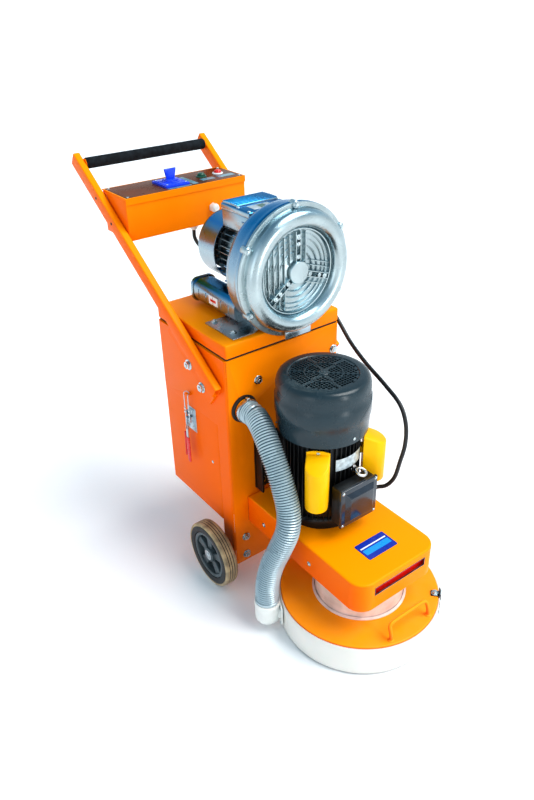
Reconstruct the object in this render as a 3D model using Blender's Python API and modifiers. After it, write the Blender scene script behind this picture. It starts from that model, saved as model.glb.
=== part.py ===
"""Walk-behind concrete floor grinder with a blower-driven dust tank. Metres, +Z up, front towards -Y.
The origin is on the floor, under the middle of the machine."""

import math

import bmesh
import bpy
from mathutils import Matrix, Vector

# Driving dimensions
GAP = 0.0003
SHEET = 0.003
TANK_W = 0.380
TANK_D = 0.339
TANK_FRONT = -0.084
TANK_TOP = 0.726
TANK_BASE = 0.043
SEAM = 0.514
BIN_BASE = 0.182
FLANGE_D = 0.055
LID_W = 0.374
LID_LOW = 0.731
LID_TOP = 0.770
PORT_X, PORT_Z = -0.140, 0.575
AXLE_Y, WHEEL_R, WHEEL_W, WHEEL_OUT = -0.049, 0.100, 0.042, 0.2655
AXLE_R = 0.010
HEAD_Y = -0.407
SKIRT_R, SKIRT_H = 0.2205, 0.100
RING_R, RING_HOLE, RING_TOP = 0.2160, 0.127, 0.103
SLEEVE_R = 0.1215
COVER_W, COVER_FRONT, COVER_LOW, COVER_TOP, COVER_CORNER = 0.277, -0.550, 0.190, 0.279, 0.045
DECK_LOW, DECK_TOP = 0.1925, 0.2005
MOTOR_X, MOTOR_Y = -0.004, -0.245
MOTOR_R, MOTOR_TOP = 0.101, 0.572
COWL_LOW, COWL_TOP = 0.553, 0.706
PULLEY_LOW, PULLEY_TOP = 0.214, 0.248
MOTOR_PULLEY_R, HEAD_PULLEY_R = 0.045, 0.085
BLOWER_X, BLOWER_Y, BLOWER_Z = 0.022, -0.094, 0.921
FLANGE_R, LUG_R = 0.1705, 0.1668
ARM_W, ARM_H, ARM_WALL = 0.020, 0.040, 0.0022
ARM_FOOT = Vector((0.2025, -0.056, 0.630))
ARM_TIP = Vector((0.2120, 0.6170, 1.1115))
GRIP_Y, GRIP_Z, GRIP_R, GRIP_HALF = 0.580, 1.100, 0.0155, 0.2008
BOX_HALF, BOX_FRONT, BOX_REAR, BOX_LOW, BOX_TOP = 0.1970, 0.356, 0.494, 0.925, 1.0405
LATCH_Y, LATCH_PIN_Z, LATCH_PIN_X = 0.106, 0.470, 0.2010
BUTTON_R = 0.0110
HOSE_R, CABLE_R = 0.032, 0.0055
START_X, STOP_X, BUTTON_Y = 0.089, 0.147, 0.425
KNOB_X, KNOB_Y, SWITCH_TOP = -0.020, 0.415, 1.0520
PANEL_TOP = 1.0438
CAP_ANGLES = {"left": math.radians(224), "right": math.radians(320)}
ELBOW_ANGLE, ELBOW_REACH, ELBOW_TOP = math.radians(153.5), 0.257, 0.100


def start_clean():
    for thing in list(bpy.data.objects):
        bpy.data.objects.remove(thing, do_unlink=True)


def new_collection(name):
    group = bpy.data.collections.new(name)
    bpy.context.scene.collection.children.link(group)
    return group


start_clean()
PARTS = new_collection("floor_grinder")
CUTTERS = new_collection("cutters")
PAINTS = {}


def paint(name, color, roughness, metallic):
    material = bpy.data.materials.new(name)
    material.use_nodes = True
    shader = material.node_tree.nodes["Principled BSDF"]
    shader.inputs["Base Color"].default_value = (*color, 1.0)
    shader.inputs["Roughness"].default_value = roughness
    shader.inputs["Metallic"].default_value = metallic
    PAINTS[name] = material


def mix_paints():
    paint("orange_paint", (1.0, 0.24, 0.0), 0.35, 0.0)
    paint("zinc", (0.62, 0.64, 0.66), 0.35, 1.0)
    paint("cast_aluminium", (0.50, 0.53, 0.55), 0.4, 1.0)
    paint("black_rubber", (0.02, 0.02, 0.022), 0.8, 0.0)
    paint("grip_foam", (0.025, 0.027, 0.03), 0.9, 0.0)
    paint("tyre_rubber", (0.60, 0.50, 0.33), 0.8, 0.0)
    paint("hub_grey", (0.25, 0.27, 0.29), 0.5, 0.0)
    paint("slate_plastic", (0.045, 0.062, 0.075), 0.35, 0.0)
    paint("black_plastic", (0.02, 0.02, 0.025), 0.3, 0.0)
    paint("motor_paint", (0.02, 0.02, 0.025), 0.35, 0.0)
    paint("yellow_plastic", (0.95, 0.55, 0.01), 0.4, 0.0)
    paint("white_plastic", (0.80, 0.80, 0.76), 0.45, 0.0)
    paint("skirt_rubber", (0.78, 0.76, 0.70), 0.5, 0.0)
    paint("blue_plastic", (0.0, 0.09, 0.75), 0.35, 0.0)
    paint("green_plastic", (0.0, 0.20, 0.08), 0.3, 0.0)
    paint("red_plastic", (0.65, 0.02, 0.02), 0.3, 0.0)
    paint("hose_grey", (0.45, 0.49, 0.52), 0.4, 0.0)
    paint("steel", (0.55, 0.55, 0.56), 0.35, 1.0)
    paint("cast_iron", (0.14, 0.14, 0.15), 0.6, 1.0)
    paint("filter_paper", (0.82, 0.80, 0.74), 0.9, 0.0)


def place(name, mesh, color, group):
    thing = bpy.data.objects.new(name, mesh)
    group.objects.link(thing)
    if group is CUTTERS:
        thing.hide_render = True
        thing.display_type = "WIRE"
    else:
        mesh.materials.append(PAINTS[color])
    return thing


def finish_mesh(name, shape, color, group, smooth):
    mesh = bpy.data.meshes.new(name)
    bmesh.ops.recalc_face_normals(shape, faces=shape.faces)
    shape.to_mesh(mesh)
    shape.free()
    if smooth:
        mesh.shade_smooth()
        mesh.set_sharp_from_angle(angle=math.radians(35))
    return place(name, mesh, color, group)


def add_box(shape, low, high, bevel=0.0, upright_only=False):
    size = Vector(high) - Vector(low)
    middle = (Vector(high) + Vector(low)) / 2
    made = bmesh.ops.create_cube(shape, size=1.0)["verts"]
    bmesh.ops.scale(shape, vec=size, verts=made)
    bmesh.ops.translate(shape, vec=middle, verts=made)
    if bevel:
        edges = {edge for vert in made for edge in vert.link_edges}
        if upright_only:
            edges = {edge for edge in edges if (edge.verts[0].co - edge.verts[1].co).xy.length < 1e-6}
        bmesh.ops.bevel(shape, geom=list(edges), offset=bevel, segments=3, profile=0.5, affect="EDGES")


def box(name, low, high, color=None, bevel=0.0, upright_only=False):
    shape = bmesh.new()
    add_box(shape, low, high, bevel, upright_only)
    return finish_mesh(name, shape, color, PARTS if color else CUTTERS, bool(bevel))


def add_rod(shape, start, end, radius, steps, end_radius=None):
    start, end = Vector(start), Vector(end)
    turn = (end - start).to_track_quat("Z", "Y").to_matrix().to_4x4()
    turn.translation = (start + end) / 2
    top = radius if end_radius is None else end_radius
    bmesh.ops.create_cone(shape, cap_ends=True, segments=steps, radius1=radius, radius2=top,
                          depth=(end - start).length, matrix=turn)


def rod(name, start, end, radius, color=None, steps=24, end_radius=None):
    shape = bmesh.new()
    add_rod(shape, start, end, radius, steps, end_radius)
    return finish_mesh(name, shape, color, PARTS if color else CUTTERS, True)


def turned(name, profile, centre, axis, color=None, steps=32):
    """A Screw about the local Z of points (radius, height) that run down the outer side."""
    shape = bmesh.new()
    points = [shape.verts.new((radius, 0.0, height)) for radius, height in profile]
    for first, second in zip(points, points[1:]):
        shape.edges.new((first, second))
    if profile[0][0] > 0.0:
        shape.edges.new((points[-1], points[0]))
    mesh = bpy.data.meshes.new(name)
    shape.to_mesh(mesh)
    shape.free()
    thing = place(name, mesh, color, PARTS if color else CUTTERS)
    thing.location = centre
    thing.rotation_euler = {"Z": (0, 0, 0), "-Y": (math.pi / 2, 0, 0), "X": (0, math.pi / 2, 0)}[axis]
    screw = thing.modifiers.new("turn", "SCREW")
    screw.steps = screw.render_steps = steps
    screw.use_merge_vertices = True
    screw.merge_threshold = 0.00001
    screw.use_smooth_shade = True
    return thing


def bar(name, points, radius, color, resolution=3, cyclic=False):
    """A round bar or tube along points, with closed ends."""
    curve = bpy.data.curves.new(name, "CURVE")
    curve.dimensions = "3D"
    curve.bevel_depth = radius
    curve.bevel_resolution = resolution
    curve.use_fill_caps = True
    line = curve.splines.new("POLY")
    line.points.add(len(points) - 1)
    for spot, point in zip(line.points, points):
        spot.co = (*point, 1.0)
    line.use_cyclic_u = cyclic
    curve.materials.append(PAINTS[color])
    thing = bpy.data.objects.new(name, curve)
    PARTS.objects.link(thing)
    return thing


def plate(name, outlines, low, high, color=None):
    """A flat outline in X and Y, with any holes, from height low to height high, as a mesh."""
    curve = bpy.data.curves.new(name, "CURVE")
    curve.dimensions = "2D"
    curve.fill_mode = "BOTH"
    curve.extrude = (high - low) / 2
    for outline in outlines:
        line = curve.splines.new("POLY")
        line.points.add(len(outline) - 1)
        for spot, (x, y) in zip(line.points, outline):
            spot.co = (x, y, 0.0, 1.0)
        line.use_cyclic_u = True
    flat = bpy.data.objects.new(name + "_outline", curve)
    PARTS.objects.link(flat)
    bpy.context.view_layer.update()
    graph = bpy.context.evaluated_depsgraph_get()
    mesh = bpy.data.meshes.new_from_object(flat.evaluated_get(graph))
    bpy.data.objects.remove(flat, do_unlink=True)
    shape = bmesh.new()
    shape.from_mesh(mesh)
    bmesh.ops.remove_doubles(shape, verts=shape.verts, dist=0.00001)
    bmesh.ops.translate(shape, vec=(0, 0, (low + high) / 2), verts=shape.verts)
    return finish_mesh(name, shape, color, PARTS if color else CUTTERS, True)


def combine(target, tool, operation):
    step = target.modifiers.new(tool.name, "BOOLEAN")
    step.operation = operation
    step.object = tool


def cut(target, *tools):
    for tool in tools:
        combine(target, tool, "DIFFERENCE")


def join(target, *tools):
    for tool in tools:
        combine(target, tool, "UNION")


def set_axis(thing, spot):
    """Moves the object's origin to its joint axis and leaves its shape where it is."""
    spot = Vector(spot)
    thing.data.transform(Matrix.Translation(thing.location - spot))
    thing.location = spot


def smooth_route(points, step):
    """Points at even distances along a Catmull-Rom curve through the route's points."""
    ends = [2 * points[0] - points[1]] + points + [2 * points[-1] - points[-2]]
    fine = []
    for a, b, c, d in zip(ends, ends[1:], ends[2:], ends[3:]):
        for part in range(24):
            t = part / 24
            fine.append(0.5 * (2 * b + (c - a) * t + (2 * a - 5 * b + 4 * c - d) * t * t
                               + (3 * b - a - 3 * c + d) * t ** 3))
    fine.append(points[-1])
    total = sum((q - p).length for p, q in zip(fine, fine[1:]))
    count = round(total / step)
    even, walked, wanted = [fine[0]], 0.0, 1
    for p, q in zip(fine, fine[1:]):
        piece = (q - p).length
        while wanted < count and walked + piece >= wanted * total / count:
            even.append(p.lerp(q, (wanted * total / count - walked) / piece))
            wanted += 1
        walked += piece
    return even + [fine[-1]]


def ring_points(centre, radius, count, start=0.0):
    turn = 2 * math.pi / count
    return [(centre[0] + radius * math.cos(start + k * turn), centre[1] + radius * math.sin(start + k * turn))
            for k in range(count)]


# Tank, bin and lid
def tank_shell():
    half, back = TANK_W / 2, TANK_FRONT + TANK_D
    inner, middle = half - SHEET, TANK_FRONT + TANK_D / 2
    shell = box("tank_shell", (-half, TANK_FRONT, TANK_BASE), (half, back, TANK_TOP), "orange_paint", 0.010, True)
    cut(shell, box("tank_hollow", (-inner, TANK_FRONT + SHEET, 0.0), (inner, back - SHEET, TANK_TOP - SHEET)))
    cut(shell, box("bin_space", (-0.3, TANK_FRONT + FLANGE_D, 0.0), (0.3, back + 0.1, SEAM)))
    cut(shell, rod("filter_hole", (0, middle, 0.70), (0, middle, 0.75), 0.090, steps=32))
    cut(shell, rod("port_hole", (PORT_X, -0.2, PORT_Z), (PORT_X, -0.07, PORT_Z), 0.0290))
    slots = bmesh.new()
    for x in (-0.151, 0.151):
        for z in (0.068, 0.135):
            add_box(slots, (x - 0.0055, TANK_FRONT - 0.02, z - 0.014),
                    (x + 0.0055, TANK_FRONT + 0.02, z + 0.014))
    cut(shell, finish_mesh("front_slots", slots, None, CUTTERS, False))
    cut(shell, rod("axle_hole", (-0.3, AXLE_Y, WHEEL_R), (0.3, AXLE_Y, WHEEL_R), AXLE_R + 0.001, steps=20))
    join(shell, turned("port_stub", [(0.0307, 0.012), (0.0307, -0.0021), (0.0272, -0.0021), (0.0272, 0.012)],
                       (PORT_X, TANK_FRONT, PORT_Z), "-Y", steps=36))
    for side in (-1, 1):
        reach = sorted((side * (half - 0.001), side * (half + 0.0105)))
        join(shell, box("keeper", (reach[0], LATCH_Y - 0.008, 0.5500), (reach[1], LATCH_Y + 0.008, 0.5525)))


def lid_and_gasket():
    half, back = LID_W / 2, TANK_FRONT + TANK_D
    lid = box("tank_lid", (-half, TANK_FRONT, LID_LOW), (half, back, LID_TOP), "orange_paint", 0.005)
    cut(lid, box("lid_hollow", (SHEET - half, TANK_FRONT + SHEET, 0.7),
                 (half - SHEET, back - SHEET, LID_TOP - SHEET)))
    gasket = box("lid_gasket", (0.004 - half, TANK_FRONT + 0.004, TANK_TOP + GAP),
                 (half - 0.004, back - 0.004, LID_LOW - GAP), "black_rubber")
    cut(gasket, box("gasket_middle", (0.016 - half, TANK_FRONT + 0.016, 0.7), (half - 0.016, back - 0.016, 0.8)))


def dust_bin():
    half, wall = TANK_W / 2 - 0.001, 0.0025
    front, back = TANK_FRONT + FLANGE_D + 0.001, TANK_FRONT + TANK_D - 0.002
    shell = box("dust_bin", (-half, front, BIN_BASE), (half, back, SEAM - 0.0008), "orange_paint", 0.006, True)
    cut(shell, box("bin_hollow", (wall - half, front + wall, BIN_BASE + wall), (half - wall, back - wall, 0.6)))
    low, out = 0.420, back + 0.040
    route = [(-0.06, back + GAP, low), (-0.06, out - 0.012, low), (-0.056, out - 0.004, low), (-0.048, out, low)]
    bar("bin_handle", route + [(-x, y, z) for x, y, z in reversed(route)], 0.005, "zinc")


def filter_cartridge():
    rim = TANK_TOP + GAP
    profile = [(0.112, 0.7303), (0.112, rim), (0.085, rim), (0.085, 0.575), (0.070, 0.575), (0.070, 0.7303)]
    turned("filter_cartridge", profile, (0, TANK_FRONT + TANK_D / 2, 0), "Z", "filter_paper")


def draw_latch(side, word):
    """A base on the bin, a lever on its pin, and a U-shaped hook that reaches over the keeper."""
    def span(near, far):
        return sorted((side * near, side * far))
    foot = span(0.1893, 0.1925)
    base = box("latch_base_" + word, (foot[0], LATCH_Y - 0.014, 0.440), (foot[1], LATCH_Y + 0.014, 0.500), "zinc")
    for low, high in ((-0.0080, -0.0060), (0.0060, 0.0080)):
        ear = span(0.1920, 0.2050)
        join(base, box("latch_ear", (ear[0], LATCH_Y + low, 0.462), (ear[1], LATCH_Y + high, 0.478)))
    pin_x, link_x, link_z = side * LATCH_PIN_X, side * 0.2045, 0.452
    cut(base, rod("pin_hole", (pin_x, LATCH_Y - 0.02, LATCH_PIN_Z), (pin_x, LATCH_Y + 0.02, LATCH_PIN_Z), 0.0026))
    block, grip = span(0.1975, 0.2080), span(0.2065, 0.2125)
    lever = box("latch_lever_" + word, (block[0], LATCH_Y - 0.005, 0.445), (block[1], LATCH_Y + 0.005, 0.476),
                "red_plastic", 0.001)
    join(lever, box("lever_grip", (grip[0], LATCH_Y - 0.0055, 0.325), (grip[1], LATCH_Y + 0.0055, 0.450)))
    join(lever, rod("lever_pin", (pin_x, LATCH_Y - 0.0083, LATCH_PIN_Z), (pin_x, LATCH_Y + 0.0083, LATCH_PIN_Z),
                    0.0022, steps=16))
    join(lever, rod("link_pin", (link_x, LATCH_Y - 0.0087, link_z), (link_x, LATCH_Y + 0.0087, link_z), 0.0016,
                    steps=16))
    leg = [(link_x, -0.0105, 0.449), (link_x, -0.0105, 0.552), (side * 0.2030, -0.0105, 0.5555),
           (side * 0.1985, -0.0095, 0.5575), (side * 0.1965, -0.0070, 0.5577)]
    route = leg + [(x, -y, z) for x, y, z in reversed(leg)]
    bar("latch_hook_" + word, [(x, LATCH_Y + y, z) for x, y, z in route], 0.0014, "zinc", 2)


# Handle and controls
def arm(side, word):
    foot = Vector((side * ARM_FOOT.x, ARM_FOOT.y, ARM_FOOT.z))
    tip = Vector((side * ARM_TIP.x, ARM_TIP.y, ARM_TIP.z))
    along = (tip - foot).normalized()
    level = Vector((0, along.y, along.z)).normalized()
    length = (tip - foot).length

    def set_along(shape, run, start):
        across = Vector((1, 0, 0)) - run * run.x
        across.normalize()
        frame = Matrix((across, run.cross(across), run)).transposed().to_4x4()
        frame.translation = start
        bmesh.ops.transform(shape, matrix=frame, verts=shape.verts)

    tube = bmesh.new()
    add_box(tube, (-ARM_W / 2, -ARM_H / 2, 0), (ARM_W / 2, ARM_H / 2, length), 0.003)
    set_along(tube, along, foot)
    piece = finish_mesh("arm_" + word, tube, "orange_paint", PARTS, True)
    side_plate = bmesh.new()
    add_box(side_plate, (-0.003, 0, 0.004), (0.003, 0.074, 0.250))
    set_along(side_plate, level, Vector((side * (TANK_W / 2 + 0.0033), foot.y, foot.z)))
    join(piece, finish_mesh("arm_plate_" + word, side_plate, None, CUTTERS, False))
    bore = bmesh.new()
    half_w, half_h = ARM_W / 2 - ARM_WALL, ARM_H / 2 - ARM_WALL
    add_box(bore, (-half_w, -half_h, -0.02), (half_w, half_h, length - 0.004))
    set_along(bore, along, foot)
    cut(piece, finish_mesh("arm_bore_" + word, bore, None, CUTTERS, False))


def grip():
    rod("grip_bar", (-GRIP_HALF, GRIP_Y, GRIP_Z), (GRIP_HALF, GRIP_Y, GRIP_Z), 0.010, "steel")
    half = GRIP_HALF - 0.002
    turned("grip_sleeve", [(GRIP_R, half), (GRIP_R, -half), (0.0104, -half), (0.0104, half)],
           (0, GRIP_Y, GRIP_Z), "X", "grip_foam", 28)


def control_box():
    case = box("control_box", (-BOX_HALF, BOX_FRONT, BOX_LOW), (BOX_HALF, BOX_REAR, BOX_TOP), "orange_paint", 0.003)
    wall = 0.002
    cut(case, box("case_hollow", (wall - BOX_HALF, BOX_FRONT + wall, BOX_LOW + wall),
                  (BOX_HALF - wall, BOX_REAR - wall, BOX_TOP + 0.1)))
    front, rear = BOX_FRONT - 0.003, BOX_REAR + 0.002
    panel = box("control_panel", (-BOX_HALF, front, PANEL_TOP - 0.018), (BOX_HALF, rear, PANEL_TOP), "orange_paint")
    cut(panel, box("panel_under", (-0.3, BOX_FRONT - GAP, 0.9), (0.3, rear + 0.1, BOX_TOP + GAP)))
    for x in (START_X, STOP_X):
        cut(panel, rod("button_hole", (x, BUTTON_Y, 1.0), (x, BUTTON_Y, 1.1), BUTTON_R + 0.0006))
    box("switch_plate", (KNOB_X - 0.039, KNOB_Y - 0.042, PANEL_TOP + GAP),
        (KNOB_X + 0.039, KNOB_Y + 0.042, SWITCH_TOP), "blue_plastic", 0.002)
    rod("cable_gland", (0.036, 0.400, BOX_LOW - GAP), (0.036, 0.400, 0.903), 0.011, "white_plastic", 12)


def rotary_knob():
    knob = rod("switch_knob", (KNOB_X, KNOB_Y, SWITCH_TOP + GAP), (KNOB_X, KNOB_Y, SWITCH_TOP + 0.008), 0.015,
               "blue_plastic")
    join(knob, box("knob_paddle", (KNOB_X - 0.020, KNOB_Y - 0.004, SWITCH_TOP + 0.004),
                   (KNOB_X + 0.020, KNOB_Y + 0.004, SWITCH_TOP + 0.036), bevel=0.0015))
    set_axis(knob, (KNOB_X, KNOB_Y, SWITCH_TOP))


def push_button(name, x, color):
    button = rod(name, (x, BUTTON_Y, 1.032), (x, BUTTON_Y, 1.053), BUTTON_R, color)
    set_axis(button, (x, BUTTON_Y, 1.053))


# Blower
def blower():
    centre = (BLOWER_X, BLOWER_Y, BLOWER_Z)
    hub = [(0.0, 0.024), (0.028, 0.024), (0.029, 0.008), (0.108, 0.008)]
    channel = [(0.134 - 0.022 * math.cos(a), 0.014 + 0.022 * math.sin(a)) for a in
               (math.radians(15 + 25 * k) for k in range(7))]
    rim = [(0.158, 0.006), (FLANGE_R, 0.006), (FLANGE_R, GAP), (0.150, GAP)]
    inside = [(0.132 + 0.016 * math.cos(a), 0.012 + 0.016 * math.sin(a)) for a in
              (math.radians(10 + 40 * k) for k in range(5))]
    cover = turned("blower_cover", hub + channel + rim + inside + [(0.114, 0.002), (0.0, 0.002)],
                   centre, "-Y", "cast_aluminium", 48)
    for x, z in ring_points((BLOWER_X, BLOWER_Z), LUG_R, 6, math.radians(30)):
        join(cover, rod("cover_lug", (x, BLOWER_Y - 0.013, z), (x, BLOWER_Y - 0.002, z), 0.0072, steps=10))
    profile = [(FLANGE_R, -GAP), (FLANGE_R, -0.0093), (0.160, -0.0115), (0.160, -0.060), (0.150, -0.076),
               (0.130, -0.085), (0.085, -0.086), (0.085, -0.098), (0.0165, -0.098), (0.0165, -0.078),
               (0.134, -0.072), (0.145, -0.058), (0.145, -GAP)]
    housing = turned("blower_housing", profile, centre, "-Y", "cast_aluminium", 48)
    cut(housing, box("housing_flat", (-0.2, TANK_FRONT - GAP, 0.6), (0.3, 0.05, LID_TOP + 0.0035)))
    turned("impeller", [(0.0, -0.004), (0.030, -0.004), (0.030, -0.020), (0.132, -0.020), (0.140, -0.028),
                        (0.140, -0.048), (0.130, -0.056), (0.112, -0.040), (0.030, -0.040), (0.030, -0.068),
                        (0.0, -0.068)], centre, "-Y", "cast_aluminium")
    turned("blower_shaft", [(0.0, -0.0683), (0.0155, -0.0683), (0.0155, -0.130), (0.045, -0.130), (0.045, -0.210),
                            (0.0155, -0.210), (0.0155, -0.280), (0.072, -0.280), (0.072, -0.286),
                            (0.0155, -0.286), (0.0155, -0.300), (0.0, -0.300)], centre, "-Y", "steel", 24)
    turned("blower_motor", [(0.078, -0.0983), (0.078, -0.245), (0.0165, -0.245), (0.0165, -0.238), (0.050, -0.232),
                            (0.050, -0.110), (0.0165, -0.105), (0.0165, -0.0983)], centre, "-Y", "cast_aluminium")
    turned("blower_cowl", [(0.0, -0.310), (0.079, -0.310), (0.0875, -0.299), (0.0875, -0.226), (0.090, -0.226),
                           (0.090, -0.300), (0.080, -0.312), (0.0, -0.312)], centre, "-Y", "cast_aluminium")
    box("blower_terminal_box", (-0.040, 0.0045, 0.9995), (0.100, 0.131, 1.062), "cast_aluminium", 0.006)
    for side, word in ((-1, "left"), (1, "right")):
        reach = sorted((BLOWER_X + side * 0.054, BLOWER_X + side * 0.126))
        box("silencer_" + word, (reach[0], -0.0072, 0.7780), (reach[1], 0.206, 0.842), "cast_aluminium", 0.012)
    base = box("blower_base", (-0.152, -0.050, LID_TOP + GAP), (0.168, 0.085, LID_TOP + 0.0030), "zinc")
    cut(base, box("base_gap", (-0.060, -0.06, 0.7), (0.085, 0.030, 0.8)))


# Grinder motor
def motor():
    centre = (MOTOR_X, MOTOR_Y)
    profile = [(0.088, MOTOR_TOP), (0.088, 0.546), (0.0935, 0.542), (0.0935, 0.306), (0.0985, 0.303),
               (0.0985, COVER_TOP + GAP), (0.0165, COVER_TOP + GAP), (0.0165, 0.306), (0.070, 0.310),
               (0.070, 0.538), (0.0165, 0.542), (0.0165, MOTOR_TOP)]
    body = turned("motor_body", profile, (*centre, 0), "Z", "motor_paint")
    fins = bmesh.new()
    for k in range(32):
        before = set(fins.verts)
        add_box(fins, (0.085, -0.0018, 0.312), (MOTOR_R, 0.0018, 0.538))
        new = [vert for vert in fins.verts if vert not in before]
        bmesh.ops.rotate(fins, verts=new, cent=(0, 0, 0), matrix=Matrix.Rotation(math.radians(5 + 11.25 * k), 3, "Z"))
    bmesh.ops.translate(fins, verts=fins.verts, vec=(*centre, 0))
    join(body, finish_mesh("motor_fins", fins, None, CUTTERS, False))
    turned("motor_rotor", [(0.0, 0.640), (0.0155, 0.640), (0.0155, 0.606), (0.092, 0.606), (0.092, 0.600),
                           (0.0155, 0.600), (0.0155, 0.500), (0.062, 0.500), (0.062, 0.340), (0.0155, 0.340),
                           (0.0155, 0.210), (0.0, 0.210)], (*centre, 0), "Z", "steel")
    wall = 0.0025
    outer = [(0.104, COWL_TOP), (0.113, 0.702), (0.120, 0.692), (0.1235, 0.678), (0.1235, 0.640), (0.1225, 0.600),
             (0.119, COWL_LOW)]
    inner = [(radius - wall, height) for radius, height in reversed(outer[2:])]
    turned("fan_cowl", [(0.0, COWL_TOP)] + outer + inner + [(0.104, COWL_TOP - 0.004), (0.0, COWL_TOP - 0.004)],
           (*centre, 0), "Z", "slate_plastic", 40)
    for word, angle in CAP_ANGLES.items():
        shape = bmesh.new()
        add_box(shape, (0.106, -0.030, 0.385), (0.168, 0.030, 0.540), 0.012, True)
        bmesh.ops.rotate(shape, verts=shape.verts, cent=(0, 0, 0), matrix=Matrix.Rotation(angle, 3, "Z"))
        bmesh.ops.translate(shape, verts=shape.verts, vec=(*centre, 0))
        finish_mesh("capacitor_" + word, shape, "yellow_plastic", PARTS, True)
    case = box("terminal_box", (-0.058, -0.380, 0.325), (0.060, -0.3475, 0.437), "black_plastic", 0.003)
    join(case, rod("terminal_gland", (0.058, -0.363, 0.372), (0.074, -0.363, 0.372), 0.009, steps=12))
    box("terminal_lid", (-0.0615, -0.394, 0.322), (0.0635, -0.380 - GAP, 0.440), "black_plastic", 0.004)


# Drive and grinding head
def cover_outline(inset):
    half, front, radius = COVER_W / 2 - inset, COVER_FRONT + inset, COVER_CORNER - inset
    back = TANK_FRONT - 0.0005 + (0.02 if inset else 0)
    points = [(half, back), (-half, back)]
    for centre_x, start in ((-half + radius, 180), (half - radius, 270)):
        for k in range(7):
            angle = math.radians(start + 15 * k)
            points.append((centre_x + radius * math.cos(angle), front + radius + radius * math.sin(angle)))
    return points


def drive_cover():
    cover = plate("drive_cover", [cover_outline(0.0)], COVER_LOW, COVER_TOP, "orange_paint")
    cut(cover, plate("cover_hollow", [cover_outline(SHEET)], 0.1, COVER_TOP - SHEET))
    cut(cover, rod("shaft_hole", (MOTOR_X, MOTOR_Y, 0.2), (MOTOR_X, MOTOR_Y, 0.3), 0.030))
    cut(cover, box("cover_slot", (-0.088, COVER_FRONT - 0.05, 0.234), (0.088, COVER_FRONT + 0.05, 0.259)))
    deck = box("deck_plate", (-0.124, -0.520, DECK_LOW), (0.124, TANK_FRONT - 0.0006, DECK_TOP), "orange_paint")
    join(deck, box("deck_upright", (-0.128, TANK_FRONT - 0.0090, DECK_LOW + 0.001),
                   (0.128, TANK_FRONT - 0.0006, 0.270)))
    cut(deck, rod("spindle_hole", (0, HEAD_Y, 0.1), (0, HEAD_Y, 0.3), 0.030))


def belt_outline(extra):
    small, large = Vector((MOTOR_X, MOTOR_Y)), Vector((0, HEAD_Y))
    run = small - large
    lean = math.acos((HEAD_PULLEY_R - MOTOR_PULLEY_R) / run.length)
    facing = math.atan2(run.y, run.x)
    points = []
    for centre, radius, start, end in ((small, MOTOR_PULLEY_R, -lean, lean),
                                       (large, HEAD_PULLEY_R, lean, 2 * math.pi - lean)):
        for k in range(19):
            angle = facing + start + (end - start) * k / 18
            reach = radius + extra
            points.append((centre.x + reach * math.cos(angle), centre.y + reach * math.sin(angle)))
    return points


def head_drive():
    turned("motor_pulley", [(MOTOR_PULLEY_R, PULLEY_TOP), (MOTOR_PULLEY_R, PULLEY_LOW), (0.0158, PULLEY_LOW),
                            (0.0158, PULLEY_TOP)], (MOTOR_X, MOTOR_Y, 0), "Z", "cast_iron")
    plate("drive_belt", [belt_outline(0.0065), belt_outline(0.0015)], PULLEY_LOW + 0.003, PULLEY_TOP - 0.003,
          "black_rubber")
    spot = (0, HEAD_Y, 0)
    turned("bearing_housing", [(0.060, DECK_LOW - GAP), (0.060, 0.180), (0.046, 0.170), (0.046, 0.100),
                               (0.0206, 0.100), (0.0206, DECK_LOW - GAP)], spot, "Z", "cast_iron")
    turned("spindle", [(0.0, 0.256), (0.020, 0.256), (0.020, PULLEY_TOP), (HEAD_PULLEY_R, PULLEY_TOP),
                       (HEAD_PULLEY_R, PULLEY_LOW), (0.020, PULLEY_LOW), (0.020, 0.060), (0.060, 0.060),
                       (0.060, 0.0453), (0.0, 0.0453)], spot, "Z", "steel")
    turned("dust_sleeve", [(SLEEVE_R, DECK_LOW - GAP), (SLEEVE_R, 0.092), (SLEEVE_R - 0.003, 0.092),
                           (SLEEVE_R - 0.003, DECK_LOW - GAP)], spot, "Z", "white_plastic", 40)
    disc = rod("grinding_disc", (0, HEAD_Y, 0.030), (0, HEAD_Y, 0.045), 0.180, "cast_iron", 40)
    for x, y in ring_points((0, HEAD_Y), 0.140, 6):
        join(disc, rod("segment_shoe", (x, y, 0.0), (x, y, 0.033), 0.030, steps=16))


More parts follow.
